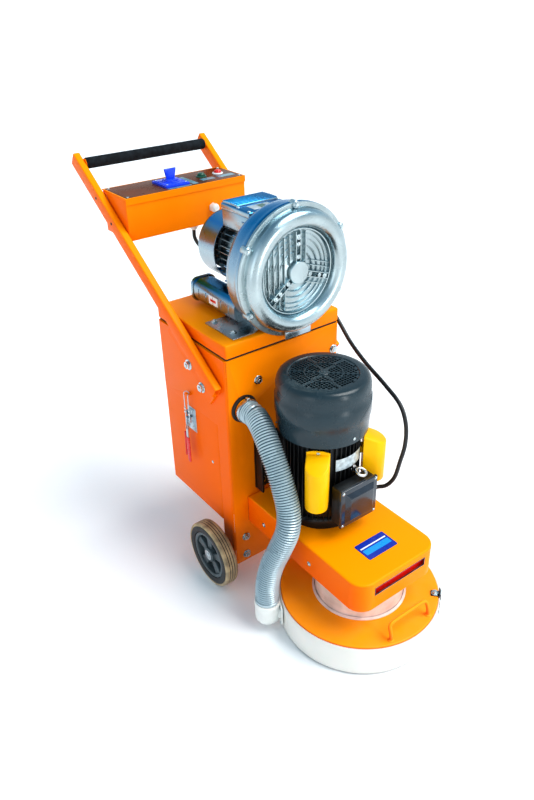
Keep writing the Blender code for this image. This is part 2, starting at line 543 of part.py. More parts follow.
def shroud():
    spot = (0, HEAD_Y, 0)
    turned("shroud_ring", [(RING_R, RING_TOP), (RING_R, 0.055), (RING_R - 0.003, 0.055), (RING_R - 0.003, 0.100),
                           (RING_HOLE, 0.100), (RING_HOLE, RING_TOP)], spot, "Z", "orange_paint", 48)
    turned("skirt", [(SKIRT_R, SKIRT_H - 0.002), (SKIRT_R, 0.003), (RING_R + 0.0006, 0.003),
                     (RING_R + 0.0006, SKIRT_H - 0.002)], spot, "Z", "skirt_rubber", 48)
    route = [(-0.068, -0.597, RING_TOP + GAP), (-0.068, -0.597, 0.118), (-0.0675, -0.592, 0.135),
             (-0.064, -0.588, 0.145), (-0.054, -0.586, 0.1495)]
    bar("shroud_handle", route + [(-x, y, z) for x, y, z in reversed(route)], 0.005, "orange_paint")
    out = Vector((math.cos(ELBOW_ANGLE), math.sin(ELBOW_ANGLE), 0))
    head = Vector((0, HEAD_Y, 0))
    top = head + out * ELBOW_REACH
    level = Vector((0, 0, 0.056))
    elbow = rod("hose_elbow", top + Vector((0, 0, 0.028)), top + Vector((0, 0, ELBOW_TOP)), 0.0352, "white_plastic")
    join(elbow, rod("elbow_pipe", head + out * 0.2225 + level, head + out * 0.255 + level, 0.0235))
    join(elbow, rod("elbow_flange", head + out * 0.2212 + level, head + out * 0.2262 + level, 0.033))
    cut(elbow, rod("elbow_bore", top + Vector((0, 0, 0.034)), top + Vector((0, 0, 0.2)), 0.0318))
    cut(elbow, rod("pipe_bore", head + out * 0.200 + level, head + out * 0.262 + level, 0.0190))


# Wheels
def wheels():
    for side, word in ((-1, "left"), (1, "right")):
        spot = (side * (WHEEL_OUT - WHEEL_W / 2), AXLE_Y, WHEEL_R)
        turned("wheel_hub_" + word, [(0.0720, 0.018), (0.0720, -0.018), (0.0108, -0.018), (0.0108, 0.018)],
               spot, "X", "hub_grey", 40)
        turned("tyre_" + word, [(0.094, 0.021), (WHEEL_R, 0.016), (WHEEL_R, -0.016), (0.094, -0.021),
                                (0.0724, -0.021), (0.0724, 0.021)], spot, "X", "tyre_rubber", 40)
    reach = WHEEL_OUT - 0.003
    rod("axle", (-reach, AXLE_Y, WHEEL_R), (reach, AXLE_Y, WHEEL_R), AXLE_R, "steel")
    low = TANK_FRONT + SHEET + GAP
    carrier = box("axle_carrier", (-0.180, low, 0.084), (0.180, AXLE_Y + 0.016, 0.116), "orange_paint")
    join(carrier, box("carrier_plate", (-0.175, low, 0.048), (0.175, low + 0.005, 0.152)))
    cut(carrier, rod("carrier_bore", (-0.2, AXLE_Y, WHEEL_R), (0.2, AXLE_Y, WHEEL_R), AXLE_R + GAP))


# Hose and cable
def hose_and_cable():
    hose = [(-0.140, TANK_FRONT - 0.0128, PORT_Z), (-0.140, -0.125, PORT_Z), (-0.140, -0.140, 0.5735),
            (-0.146, -0.175, 0.559), (-0.156, -0.223, 0.521), (-0.162, -0.272, 0.459), (-0.168, -0.308, 0.390),
            (-0.180, -0.320, 0.335), (-0.197, -0.311, 0.280), (-0.214, -0.297, 0.222), (-0.2262, -0.2915, 0.165),
            (-0.2298, -0.2920, 0.130), (-0.2300, -0.2923, ELBOW_TOP + 0.0010)]
    bar("vacuum_hose", smooth_route([Vector(p) for p in hose], 0.018), HOSE_R, "hose_grey")
    cable = [(0.036, 0.400, 0.9015), (0.037, 0.399, 0.875), (0.046, 0.380, 0.850), (0.070, 0.350, 0.830),
             (0.120, 0.290, 0.796), (0.165, 0.205, 0.780), (0.180, 0.110, 0.777), (0.184, 0.030, 0.778),
             (0.197, -0.025, 0.762), (0.200, -0.075, 0.719), (0.192, -0.132, 0.682), (0.180, -0.204, 0.654),
             (0.170, -0.291, 0.626), (0.160, -0.358, 0.600), (0.150, -0.392, 0.560), (0.140, -0.404, 0.509),
             (0.130, -0.401, 0.458), (0.120, -0.396, 0.410), (0.107, -0.382, 0.381), (0.092, -0.3650, 0.3725),
             (0.083, -0.363, 0.372), (0.0760, -0.363, 0.372)]
    bar("motor_cable", smooth_route([Vector(p) for p in cable], 0.024), CABLE_R, "black_rubber", 2)


mix_paints()
tank_shell()
lid_and_gasket()
dust_bin()
filter_cartridge()
for word, side in (("left", -1), ("right", 1)):
    draw_latch(side, word)
    arm(side, word)
grip()
control_box()
rotary_knob()
push_button("start_button", START_X, "green_plastic")
push_button("stop_button", STOP_X, "red_plastic")
blower()
motor()
drive_cover()
head_drive()
shroud()
wheels()
hose_and_cable()
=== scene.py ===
import math

import bmesh
import bpy
from mathutils import Matrix, Vector


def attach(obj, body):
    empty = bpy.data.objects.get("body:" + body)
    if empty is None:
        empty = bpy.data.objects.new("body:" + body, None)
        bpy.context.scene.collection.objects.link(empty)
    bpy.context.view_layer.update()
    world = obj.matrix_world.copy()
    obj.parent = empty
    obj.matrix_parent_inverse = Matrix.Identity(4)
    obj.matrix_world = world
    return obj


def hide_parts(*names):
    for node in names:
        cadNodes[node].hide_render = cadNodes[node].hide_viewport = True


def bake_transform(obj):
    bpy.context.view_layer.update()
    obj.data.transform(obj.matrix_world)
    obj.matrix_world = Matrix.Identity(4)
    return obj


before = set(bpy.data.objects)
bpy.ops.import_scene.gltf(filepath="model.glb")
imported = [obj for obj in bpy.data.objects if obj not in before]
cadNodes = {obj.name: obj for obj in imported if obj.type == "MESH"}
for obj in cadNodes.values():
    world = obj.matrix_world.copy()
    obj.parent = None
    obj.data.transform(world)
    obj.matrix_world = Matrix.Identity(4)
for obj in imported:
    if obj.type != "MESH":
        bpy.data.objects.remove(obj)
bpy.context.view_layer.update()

print("frame loaded")

scene = bpy.context.scene


# ---- camera, light and floor

view = {"place": (-1.0379, -1.4145, 1.5647), "target": (-0.0625, -0.0840, 0.5702), "roll": -1.36, "lens": 32.15,
        "floor": (0.97, 0.97, 0.97), "horizon": (1.0, 1.0, 1.0), "mid": (0.52, 0.64, 0.74),
        "zenith": (0.22, 0.33, 0.42), "sun": 2.5, "sunSpread": 40}


def aimCamera():
    back = (Vector(view["place"]) - Vector(view["target"])).normalized()
    right = Vector((0, 0, 1)).cross(back).normalized()
    up = back.cross(right)
    turn = math.radians(view["roll"])
    tilted = right * math.cos(turn) + up * math.sin(turn)
    raised = up * math.cos(turn) - right * math.sin(turn)
    lensData = bpy.data.cameras.new("studioCamera")
    lensData.lens = view["lens"]
    lensData.clip_start = 0.05
    camera = bpy.data.objects.new("studioCamera", lensData)
    pose = Matrix((tilted, raised, back)).transposed().to_4x4()
    pose.translation = Vector(view["place"])
    camera.matrix_world = pose
    scene.collection.objects.link(camera)
    scene.camera = camera


def softLight(name, place, size, power, color=(1, 1, 1)):
    data = bpy.data.lights.new(name, "AREA")
    data.shape = "RECTANGLE"
    data.size, data.size_y = size
    data.energy = power
    data.color = color
    lamp = bpy.data.objects.new(name, data)
    lamp.location = place
    lamp.rotation_euler = (Vector((0, -0.1, 0.5)) - Vector(place)).to_track_quat("-Z", "Y").to_euler()
    scene.collection.objects.link(lamp)


def lightStudio():
    data = bpy.data.lights.new("keyLight", "SUN")
    data.energy = view["sun"]
    data.angle = math.radians(view["sunSpread"])
    data.color = (1.0, 0.985, 0.96)
    key = bpy.data.objects.new("keyLight", data)
    key.rotation_euler = Vector((-0.42, 0.42, -0.90)).to_track_quat("-Z", "Y").to_euler()
    scene.collection.objects.link(key)
    softLight("fillLight", (-3.0, -1.2, 1.6), (1.2, 2.2), 9, (0.93, 0.97, 1.0))
    softLight("frontStrip", (0.4, -3.0, 1.3), (0.4, 1.8), 16)
    world = bpy.data.worlds.new("studioSky")
    world.use_nodes = True
    tree = world.node_tree
    way = tree.nodes.new("ShaderNodeTexCoord")
    split = tree.nodes.new("ShaderNodeSeparateXYZ")
    tree.links.new(way.outputs["Generated"], split.inputs[0])
    ramp = tree.nodes.new("ShaderNodeValToRGB")
    stops = ramp.color_ramp.elements
    stops[0].position, stops[0].color = 0.10, (*view["horizon"], 1)
    stops[1].position, stops[1].color = 1.0, (*view["zenith"], 1)
    middle = stops.new(0.42)
    middle.color = (*view["mid"], 1)
    tree.links.new(split.outputs["Z"], ramp.inputs[0])
    tree.links.new(ramp.outputs[0], tree.nodes["Background"].inputs["Color"])
    scene.world = world


aimCamera()
lightStudio()
scene.view_settings.view_transform = "Standard"
scene.view_settings.look = "Medium High Contrast"
print("camera and light")


# ---- surface effects that several materials share

def newGroup(name, ins, outs):
    group = bpy.data.node_groups.new(name, "ShaderNodeTree")
    for label, value in ins:
        socket = group.interface.new_socket(label, in_out="INPUT", socket_type="NodeSocketFloat")
        socket.default_value = value
    for label in outs:
        group.interface.new_socket(label, in_out="OUTPUT", socket_type="NodeSocketFloat")
    nodes = group.nodes
    return group, nodes.new("NodeGroupInput"), nodes.new("NodeGroupOutput")


def grainGroup():
    group, given, result = newGroup("surfaceGrain", [("Fine", 600.0), ("Broad", 9.0)], ["Fine", "Broad"])
    nodes, links = group.nodes, group.links
    spot = nodes.new("ShaderNodeTexCoord")
    for label, detail in (("Fine", 3.0), ("Broad", 4.0)):
        noise = nodes.new("ShaderNodeTexNoise")
        noise.inputs["Detail"].default_value = detail
        links.new(spot.outputs["Object"], noise.inputs["Vector"])
        links.new(given.outputs[label], noise.inputs["Scale"])
        links.new(noise.outputs["Fac"], result.inputs[label])
    return group


def speckGroup():
    group, given, result = newGroup("wearSpecks", [("Scale", 60.0), ("Amount", 0.12)], ["Mask"])
    nodes, links = group.nodes, group.links
    spot = nodes.new("ShaderNodeTexCoord")
    coarse = nodes.new("ShaderNodeTexNoise")
    coarse.inputs["Detail"].default_value = 6.0
    coarse.inputs["Roughness"].default_value = 0.75
    links.new(spot.outputs["Object"], coarse.inputs["Vector"])
    links.new(given.outputs["Scale"], coarse.inputs["Scale"])
    edge = nodes.new("ShaderNodeMath")
    edge.operation = "SUBTRACT"
    edge.inputs[0].default_value = 0.80
    links.new(given.outputs["Amount"], edge.inputs[1])
    above = nodes.new("ShaderNodeMath")
    above.operation = "SUBTRACT"
    links.new(coarse.outputs["Fac"], above.inputs[0])
    links.new(edge.outputs[0], above.inputs[1])
    sharp = nodes.new("ShaderNodeMath")
    sharp.operation = "MULTIPLY"
    sharp.use_clamp = True
    sharp.inputs[1].default_value = 14.0
    links.new(above.outputs[0], sharp.inputs[0])
    links.new(sharp.outputs[0], result.inputs["Mask"])
    return group


def dustGroup():
    group, given, result = newGroup("floorDust", [("Height", 0.22), ("Amount", 0.5)], ["Mask"])
    nodes, links = group.nodes, group.links
    spot = nodes.new("ShaderNodeTexCoord")
    split = nodes.new("ShaderNodeSeparateXYZ")
    links.new(spot.outputs["Object"], split.inputs[0])
    share = nodes.new("ShaderNodeMath")
    share.operation = "DIVIDE"
    links.new(split.outputs["Z"], share.inputs[0])
    links.new(given.outputs["Height"], share.inputs[1])
    falling = nodes.new("ShaderNodeMath")
    falling.operation = "SUBTRACT"
    falling.use_clamp = True
    falling.inputs[0].default_value = 1.0
    links.new(share.outputs[0], falling.inputs[1])
    cloud = nodes.new("ShaderNodeTexNoise")
    cloud.inputs["Scale"].default_value = 28.0
    cloud.inputs["Detail"].default_value = 6.0
    links.new(spot.outputs["Object"], cloud.inputs["Vector"])
    patchy = nodes.new("ShaderNodeMath")
    patchy.operation = "MULTIPLY"
    links.new(falling.outputs[0], patchy.inputs[0])
    links.new(cloud.outputs["Fac"], patchy.inputs[1])
    scaled = nodes.new("ShaderNodeMath")
    scaled.operation = "MULTIPLY"
    links.new(patchy.outputs[0], scaled.inputs[0])
    links.new(given.outputs["Amount"], scaled.inputs[1])
    links.new(scaled.outputs[0], result.inputs["Mask"])
    return group


grainNodes = grainGroup()
speckNodes = speckGroup()
dustNodes = dustGroup()


def addGroup(tree, group, values):
    node = tree.nodes.new("ShaderNodeGroup")
    node.node_tree = group
    for label, value in values.items():
        node.inputs[label].default_value = value
    return node


def mixColor(tree, first, second, factor, blend="MIX"):
    mix = tree.nodes.new("ShaderNodeMix")
    mix.data_type = "RGBA"
    mix.blend_type = blend
    mix.clamp_factor = True
    for slot, value in ((6, first), (7, second)):
        if isinstance(value, tuple):
            mix.inputs[slot].default_value = (*value, 1)
        else:
            tree.links.new(value, mix.inputs[slot])
    if isinstance(factor, float):
        mix.inputs[0].default_value = factor
    else:
        tree.links.new(factor, mix.inputs[0])
    return mix.outputs[2]


def spread(tree, value, low, high):
    ramp = tree.nodes.new("ShaderNodeMapRange")
    ramp.inputs["From Min"].default_value = 0.3
    ramp.inputs["From Max"].default_value = 0.7
    ramp.inputs["To Min"].default_value = low
    ramp.inputs["To Max"].default_value = high
    tree.links.new(value, ramp.inputs["Value"])
    return ramp.outputs["Result"]


def finish(name, color, rough, metal=0.0, fine=600.0, bump=0.05, broad=9.0, shade=0.12, dust=0.0, specks=0.0,
           speckColor=(0.05, 0.045, 0.04), coat=0.0, sheen=0.0, paintedLightByFacing=None, settings=None):
    material = bpy.data.materials.new(name)
    material.use_nodes = True
    tree = material.node_tree
    links = tree.links
    shader = tree.nodes["Principled BSDF"]
    shader.inputs["Metallic"].default_value = metal
    shader.inputs["Coat Weight"].default_value = coat
    shader.inputs["Coat Roughness"].default_value = 0.12
    shader.inputs["Sheen Weight"].default_value = sheen
    for label, value in (settings or {}).items():
        shader.inputs[label].default_value = value
    grain = addGroup(tree, grainNodes, {"Fine": fine, "Broad": broad})
    darker = tuple(channel * (1 - 2 * shade) for channel in color)
    lighter = tuple(min(1.0, channel * (1 + shade) + 0.01 * shade) for channel in color)
    tone = mixColor(tree, darker, lighter, spread(tree, grain.outputs["Broad"], 0.0, 1.0))
    # painted light: each entry mixes the colour towards a given colour by how far the surface's world normal points
    # along an axis, standing in for reflections, lit tops and shaded sides
    if paintedLightByFacing:
        up = tree.nodes.new("ShaderNodeNewGeometry")
        split = tree.nodes.new("ShaderNodeSeparateXYZ")
        links.new(up.outputs["Normal"], split.inputs[0])
        for axis, sign, paintedLightColor, amount in paintedLightByFacing:
            facing = tree.nodes.new("ShaderNodeMath")
            facing.operation = "MULTIPLY"
            facing.use_clamp = True
            facing.inputs[1].default_value = sign * amount
            links.new(split.outputs[axis], facing.inputs[0])
            tone = mixColor(tree, tone, paintedLightColor, facing.outputs[0])
    if specks:
        marks = addGroup(tree, speckNodes, {"Amount": specks})
        tone = mixColor(tree, tone, speckColor, marks.outputs["Mask"])
    if dust:
        film = addGroup(tree, dustNodes, {"Amount": dust})
        tone = mixColor(tree, tone, (0.62, 0.58, 0.52), film.outputs["Mask"])
    links.new(tone, shader.inputs["Base Color"])
    links.new(spread(tree, grain.outputs["Broad"], max(rough - 0.06, 0.04), min(rough + 0.08, 1.0)),
              shader.inputs["Roughness"])
    ripple = tree.nodes.new("ShaderNodeBump")
    ripple.inputs["Strength"].default_value = bump
    ripple.inputs["Distance"].default_value = 0.001
    links.new(grain.outputs["Fine"], ripple.inputs["Height"])
    links.new(ripple.outputs["Normal"], shader.inputs["Normal"])
    return material


# painted light by facing: up-faces turn deep blue as a painted sky reflection; down-faces turn dark and warm as
# painted underside shade with a painted reflection of the orange sheet; sides facing -X turn deeper red as painted
# shade; tops turn a lighter orange as a painted highlight
paintedSkyReflection = ("Z", 1.0, (0.0, 0.20, 0.45), 1.25)
paintedUndersideReflection = ("Z", -1.0, (0.34, 0.22, 0.18), 0.6)
paintedSideShade = ("X", -1.0, (0.86, 0.095, 0.0), 0.7)
paintedTopLight = ("Z", 1.0, (1.0, 0.33, 0.0), 0.9)
paints = {
    # orange: sides facing -X carry painted shade and tops a painted highlight
    "orange": finish("orangePowderCoat", (1.0, 0.245, 0.0), 0.34, fine=420, bump=0.10, broad=5, shade=0.05,
                     dust=0.12, specks=0.05, paintedLightByFacing=[paintedSideShade, paintedTopLight], settings={"Specular IOR Level": 0.09}),
    "orangeEdge": finish("orangeCutEdge", (0.55, 0.10, 0.004), 0.5, fine=700, bump=0.15, broad=20),
    "panel": finish("controlPanelPaint", (0.13, 0.032, 0.007), 0.26, fine=260, bump=0.03, broad=14, shade=0.2,
                    settings={"Specular IOR Level": 0.14}),
    "zinc": finish("zincPlate", (0.50, 0.58, 0.63), 0.28, 1.0, fine=260, bump=0.08, broad=24, shade=0.08),
    "bolt": finish("boltZinc", (0.60, 0.68, 0.70), 0.24, 1.0, fine=900, bump=0.10, broad=90, shade=0.14),
    # cast: tops turn bluer as a painted sky reflection
    "cast": finish("castAluminium", (0.47, 0.54, 0.55), 0.27, 1.0, fine=520, bump=0.22, broad=14, shade=0.10,
                   paintedLightByFacing=[("Z", 1.0, (0.22, 0.44, 0.56), 0.6)]),
    # the strong blue on tops is a painted sky reflection and the dark warm undersides are painted shade with a painted
    # reflection; the base colour itself is a bluish grey
    "bluishCastPaintedSky": finish("castAluminiumPaintedSky", (0.40, 0.49, 0.53), 0.25, 1.0, fine=520, bump=0.18, broad=9,
                       shade=0.08, paintedLightByFacing=[paintedSkyReflection, paintedUndersideReflection]),
    "castDark": finish("castAluminiumDark", (0.16, 0.17, 0.18), 0.42, 1.0, fine=420, bump=0.3, broad=26, shade=0.2),
    "foam": finish("gripFoam", (0.012, 0.016, 0.020), 0.85, fine=900, bump=0.5, broad=60, shade=0.3,
                   settings={"Specular IOR Level": 0.2}),
    "rubber": finish("blackRubber", (0.012, 0.012, 0.013), 0.62, fine=500, bump=0.3, broad=30, shade=0.2),
    "cable": finish("cableJacket", (0.010, 0.010, 0.011), 0.38, fine=700, bump=0.12, broad=30, shade=0.2),
    "slate": finish("slatePlastic", (0.016, 0.034, 0.044), 0.24, fine=350, bump=0.10, broad=10, shade=0.12,
                    specks=0.03, speckColor=(0.20, 0.22, 0.23), settings={"Specular IOR Level": 0.42}),
    # near-black discs standing in for the shade inside holes: painted shade
    "dark": finish("paintedHoleShade", (0.006, 0.007, 0.008), 0.6, fine=300, bump=0.1),
    "motor": finish("motorEnamel", (0.008, 0.010, 0.012), 0.34, fine=380, bump=0.2, broad=18, shade=0.25,
                    settings={"Specular IOR Level": 0.4}),
    "yellow": finish("yellowPlastic", (0.95, 0.50, 0.0), 0.36, fine=420, bump=0.05, broad=12, shade=0.05,
                     settings={"Specular IOR Level": 0.2}),
    "terminal": finish("terminalLidPlastic", (0.012, 0.022, 0.036), 0.16, fine=300, bump=0.03, broad=20, shade=0.2,
                       coat=0.5),
    "white": finish("mouldedWhite", (0.78, 0.80, 0.77), 0.38, fine=420, bump=0.10, broad=16, shade=0.06, dust=0.2),
    "skirt": finish("skirtPolymer", (0.74, 0.72, 0.67), 0.34, fine=300, bump=0.06, broad=7, shade=0.03, dust=0.12,
                    settings={"Subsurface Weight": 0.08, "Subsurface Scale": 0.01}),
    "sleeve": finish("sleevePolymer", (0.80, 0.62, 0.56), 0.55, fine=60, bump=0.4, broad=22, shade=0.14, dust=0.35),
    "hose": finish("hosePvc", (0.44, 0.54, 0.58), 0.26, 0.25, fine=500, bump=0.05, broad=10, shade=0.05,
                   settings={"Specular IOR Level": 0.4}),
    # the dark colour in the hose's grooves is painted shade
    "groove": finish("hoseGroovePaintedShade", (0.075, 0.13, 0.16), 0.45, fine=500, bump=0.05, broad=10, shade=0.05,
                     settings={"Specular IOR Level": 0.2}),
    "tyreWall": finish("tyreSidewall", (0.007, 0.008, 0.009), 0.5, fine=420, bump=0.3, broad=30, shade=0.3,
                       dust=0.06),
    "tread": finish("tyreTread", (0.42, 0.31, 0.17), 0.7, fine=260, bump=0.5, broad=36, shade=0.25, dust=0.25),
    "hub": finish("hubCast", (0.085, 0.11, 0.12), 0.34, 0.4, fine=380, bump=0.25, broad=30, shade=0.2, dust=0.06),
    "steel": finish("machinedSteel", (0.60, 0.61, 0.62), 0.28, 1.0, fine=800, bump=0.08, broad=60, shade=0.12),
    "iron": finish("castIron", (0.10, 0.10, 0.105), 0.6, 0.7, fine=240, bump=0.6, broad=30, shade=0.3, dust=0.5),
    "diamond": finish("grindingSegment", (0.20, 0.17, 0.14), 0.75, 0.5, fine=900, bump=1.0, broad=90, shade=0.4),
    "paper": finish("filterFelt", (0.78, 0.75, 0.68), 0.95, fine=700, bump=0.7, broad=30, shade=0.1),
    "blue": finish("blueSwitchPlastic", (0.0, 0.055, 0.80), 0.28, fine=420, bump=0.05, broad=18, shade=0.08,
                   coat=0.25),
    "green": finish("greenButtonPlastic", (0.0, 0.085, 0.045), 0.28, fine=420, bump=0.05, shade=0.1, coat=0.3),
    "red": finish("redPlastic", (0.75, 0.012, 0.010), 0.28, fine=420, bump=0.05, shade=0.1, coat=0.3),
    "labelBlue": finish("labelDeepBlue", (0.005, 0.035, 0.38), 0.3, fine=300, bump=0.02, shade=0.03),
    "labelSky": finish("labelSkyBlue", (0.01, 0.32, 0.85), 0.3, fine=300, bump=0.02, shade=0.03),
    "labelWhite": finish("labelWhite", (0.88, 0.89, 0.90), 0.35, fine=300, bump=0.02, shade=0.04),
    "labelGrey": finish("labelBrushed", (0.55, 0.63, 0.66), 0.35, 0.6, fine=120, bump=0.1, broad=80, shade=0.2),
    "labelTeal": finish("legendStrip", (0.10, 0.26, 0.34), 0.25, fine=300, bump=0.02, shade=0.1, coat=0.3),
}
print("materials:", len(paints))


# ---- shapes

def lathe(profile, steps=64, closed=False):
    shape = bmesh.new()  # profile of (radius, height), turned about Z
    points = [shape.verts.new((radius, 0, height)) for radius, height in profile]
    edges = [shape.edges.new(pair) for pair in zip(points, points[1:])]
    if closed:
        edges.append(shape.edges.new((points[-1], points[0])))
    bmesh.ops.spin(shape, geom=points + edges, cent=(0, 0, 0), axis=(0, 0, 1), angle=2 * math.pi, steps=steps,
                   use_merge=True, use_duplicate=False)
    bmesh.ops.remove_doubles(shape, verts=shape.verts, dist=0.00001)
    bmesh.ops.recalc_face_normals(shape, faces=shape.faces)
    return shape


def block(low, high, bevel=0.0, segments=2, upright=False):
    shape = bmesh.new()
    bmesh.ops.create_cube(shape, size=1)
    bmesh.ops.scale(shape, vec=Vector(high) - Vector(low), verts=shape.verts)
    bmesh.ops.translate(shape, vec=(Vector(high) + Vector(low)) / 2, verts=shape.verts)
    if bevel:
        edges = [edge for edge in shape.edges
                 if not upright or abs(edge.verts[0].co.z - edge.verts[1].co.z) > 1e-5]
        bmesh.ops.bevel(shape, geom=edges, affect="EDGES", offset=bevel, segments=segments, profile=0.5,
                        material=-1)
    return shape


def rodShape(start, end, radius, steps=20, endRadius=None, bevel=0.0):
    shape = bmesh.new()
    start, end = Vector(start), Vector(end)
    bmesh.ops.create_cone(shape, cap_ends=True, segments=steps, radius1=radius,
                          radius2=radius if endRadius is None else endRadius, depth=(end - start).length)
    if bevel:
        rims = [edge for edge in shape.edges if abs(edge.verts[0].co.z - edge.verts[1].co.z) < 1e-6]
        bmesh.ops.bevel(shape, geom=rims, affect="EDGES", offset=bevel, segments=2, profile=0.5, material=-1)
    turn = (end - start).to_track_quat("Z", "Y").to_matrix().to_4x4()
    turn.translation = (start + end) / 2
    bmesh.ops.transform(shape, matrix=turn, verts=shape.verts)
    return shape


def prism(outline, low, high, bevel=0.0, segments=2):
    shape = bmesh.new()  # outline in X and Y, drawn out from low to high
    face = shape.faces.new([shape.verts.new((x, y, low)) for x, y in outline])
    grown = bmesh.ops.extrude_face_region(shape, geom=[face])["geom"]
    top = [vert for vert in grown if isinstance(vert, bmesh.types.BMVert)]
    bmesh.ops.translate(shape, vec=(0, 0, high - low), verts=top)
    bmesh.ops.recalc_face_normals(shape, faces=shape.faces)
    if bevel:
        rims = [edge for edge in shape.edges if abs(edge.verts[0].co.z - edge.verts[1].co.z) < 1e-6]
        bmesh.ops.bevel(shape, geom=rims, affect="EDGES", offset=bevel, segments=segments, profile=0.5,
                        material=-1)
    return shape


def arc(centre, radius, start, end, steps):
    return [(centre[0] + radius * math.cos(math.radians(start + (end - start) * k / steps)),
             centre[1] + radius * math.sin(math.radians(start + (end - start) * k / steps)))
            for k in range(steps + 1)]


def pour(target, part, matrix=None):
    if matrix:
        bmesh.ops.transform(part, matrix=matrix, verts=part.verts)
    holder = bpy.data.meshes.new("holder")
    part.to_mesh(holder)
    part.free()
    target.from_mesh(holder)
    bpy.data.meshes.remove(holder)


def facing(at, direction, turn=0.0):
    matrix = Vector(direction).to_track_quat("Z", "Y").to_matrix().to_4x4() @ Matrix.Rotation(turn, 4, "Z")
    matrix.translation = Vector(at)
    return matrix


def piece(name, shape, material, body, sharp=35, bevel=0.0, replaces=()):
    mesh = bpy.data.meshes.new(name)
    shape.to_mesh(mesh)
    shape.free()
    mesh.shade_smooth()
    mesh.set_sharp_from_angle(angle=math.radians(sharp))
    made = bpy.data.objects.new(name, mesh)
    scene.collection.objects.link(made)
    mesh.materials.append(paints[material])
    if bevel:
        soft = made.modifiers.new("softEdges", "BEVEL")
        soft.width = bevel
        soft.segments = 2
        soft.limit_method = "ANGLE"
        soft.angle_limit = math.radians(40)
    if body:
        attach(made, body)
    if replaces:
        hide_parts(*replaces)
    return made


def softened(node, material, body, width, name, angle=40):
    shape = bmesh.new()  # a CAD node with its edges rounded
    shape.from_mesh(cadNodes[node].data)
    bmesh.ops.remove_doubles(shape, verts=shape.verts, dist=0.00001)
    bmesh.ops.dissolve_limit(shape, angle_limit=math.radians(1.0), verts=shape.verts, edges=shape.edges)
    return piece(name, shape, material, body, bevel=width, replaces=(node,))


def boltShape(size, domed=False):
    shape = bmesh.new()  # a washer, a hexagon head and the thread's end, along Z
    pour(shape, lathe([(0, 0), (size * 1.9, 0), (size * 1.95, size * 0.12), (size * 1.85, size * 0.26),
                       (0, size * 0.26)], 24))
    if domed:
        pour(shape, lathe([(size * 1.3, size * 0.2), (size * 1.25, size * 0.55), (size * 0.9, size * 0.9),
                           (size * 0.4, size * 1.0), (0, size * 1.02)], 20))
        return shape
    head = rodShape((0, 0, size * 0.2), (0, 0, size * 1.15), size * 1.45, 6, bevel=size * 0.12)
    pour(shape, head)
    pour(shape, rodShape((0, 0, size), (0, 0, size * 1.5), size * 0.72, 14, bevel=size * 0.12))
    return shape


def bolts(name, spots, direction, size, body, material="bolt", domed=False):
    shape = bmesh.new()
    for index, spot in enumerate(spots):
        pour(shape, boltShape(size, domed), facing(spot, direction, 0.5 * index))
    return piece(name, shape, material, body)


def smoothRoute(points, step):
    spots = [Vector(p) for p in points]
    ends = [2 * spots[0] - spots[1]] + spots + [2 * spots[-1] - spots[-2]]
    fine = []
    for a, b, c, d in zip(ends, ends[1:], ends[2:], ends[3:]):
        for part in range(24):
            t = part / 24
            fine.append(0.5 * (2 * b + (c - a) * t + (2 * a - 5 * b + 4 * c - d) * t * t
                               + (3 * b - a - 3 * c + d) * t ** 3))
    fine.append(spots[-1])
    total = sum((q - p).length for p, q in zip(fine, fine[1:]))
    count = round(total / step)
    even, walked, wanted = [fine[0]], 0.0, 1
    for p, q in zip(fine, fine[1:]):
        run = (q - p).length
        while wanted < count and walked + run >= wanted * total / count:
            even.append(p.lerp(q, (wanted * total / count - walked) / run))
            wanted += 1
        walked += run
    return even + [fine[-1]]


def routeLength(points):
    return sum((q - p).length for p, q in zip(points, points[1:]))


# ---- cords: the vacuum hose and the motor cable

hoseMake = {"radius": 0.0320, "groove": 0.0278, "pitch": 0.0068, "sides": 36, "steps": 6,
            "fixedAbove": (-0.2, -0.3, 0.50), "movesBelow": (-0.2, -0.3, 0.125)}
hoseRoute = [(-0.140, -0.0968, 0.575), (-0.140, -0.125, 0.575), (-0.140, -0.140, 0.5735), (-0.146, -0.175, 0.559),
             (-0.156, -0.223, 0.521), (-0.162, -0.272, 0.459), (-0.168, -0.308, 0.390), (-0.180, -0.320, 0.335),
             (-0.197, -0.311, 0.280), (-0.214, -0.297, 0.222), (-0.2262, -0.2915, 0.165), (-0.2298, -0.2920, 0.130),
             (-0.2300, -0.2923, 0.1010)]
cableRoute = [(0.036, 0.400, 0.9015), (0.037, 0.399, 0.875), (0.046, 0.380, 0.850), (0.070, 0.350, 0.830),
              (0.120, 0.290, 0.796), (0.165, 0.205, 0.780), (0.180, 0.110, 0.777), (0.184, 0.030, 0.778),
              (0.197, -0.025, 0.762), (0.200, -0.075, 0.719), (0.192, -0.132, 0.682), (0.180, -0.204, 0.654),
              (0.170, -0.291, 0.626), (0.160, -0.358, 0.600), (0.150, -0.392, 0.560), (0.140, -0.404, 0.509),
              (0.130, -0.401, 0.458), (0.120, -0.396, 0.410), (0.107, -0.382, 0.381), (0.092, -0.3650, 0.3725),
              (0.083, -0.363, 0.372), (0.0760, -0.363, 0.372)]


def ringAt(shape, spot, along, side, radius, count):
    up = along.cross(side).normalized()
    return [shape.verts.new(spot + radius * (side * math.cos(2 * math.pi * k / count)
                                             + up * math.sin(2 * math.pi * k / count))) for k in range(count)]


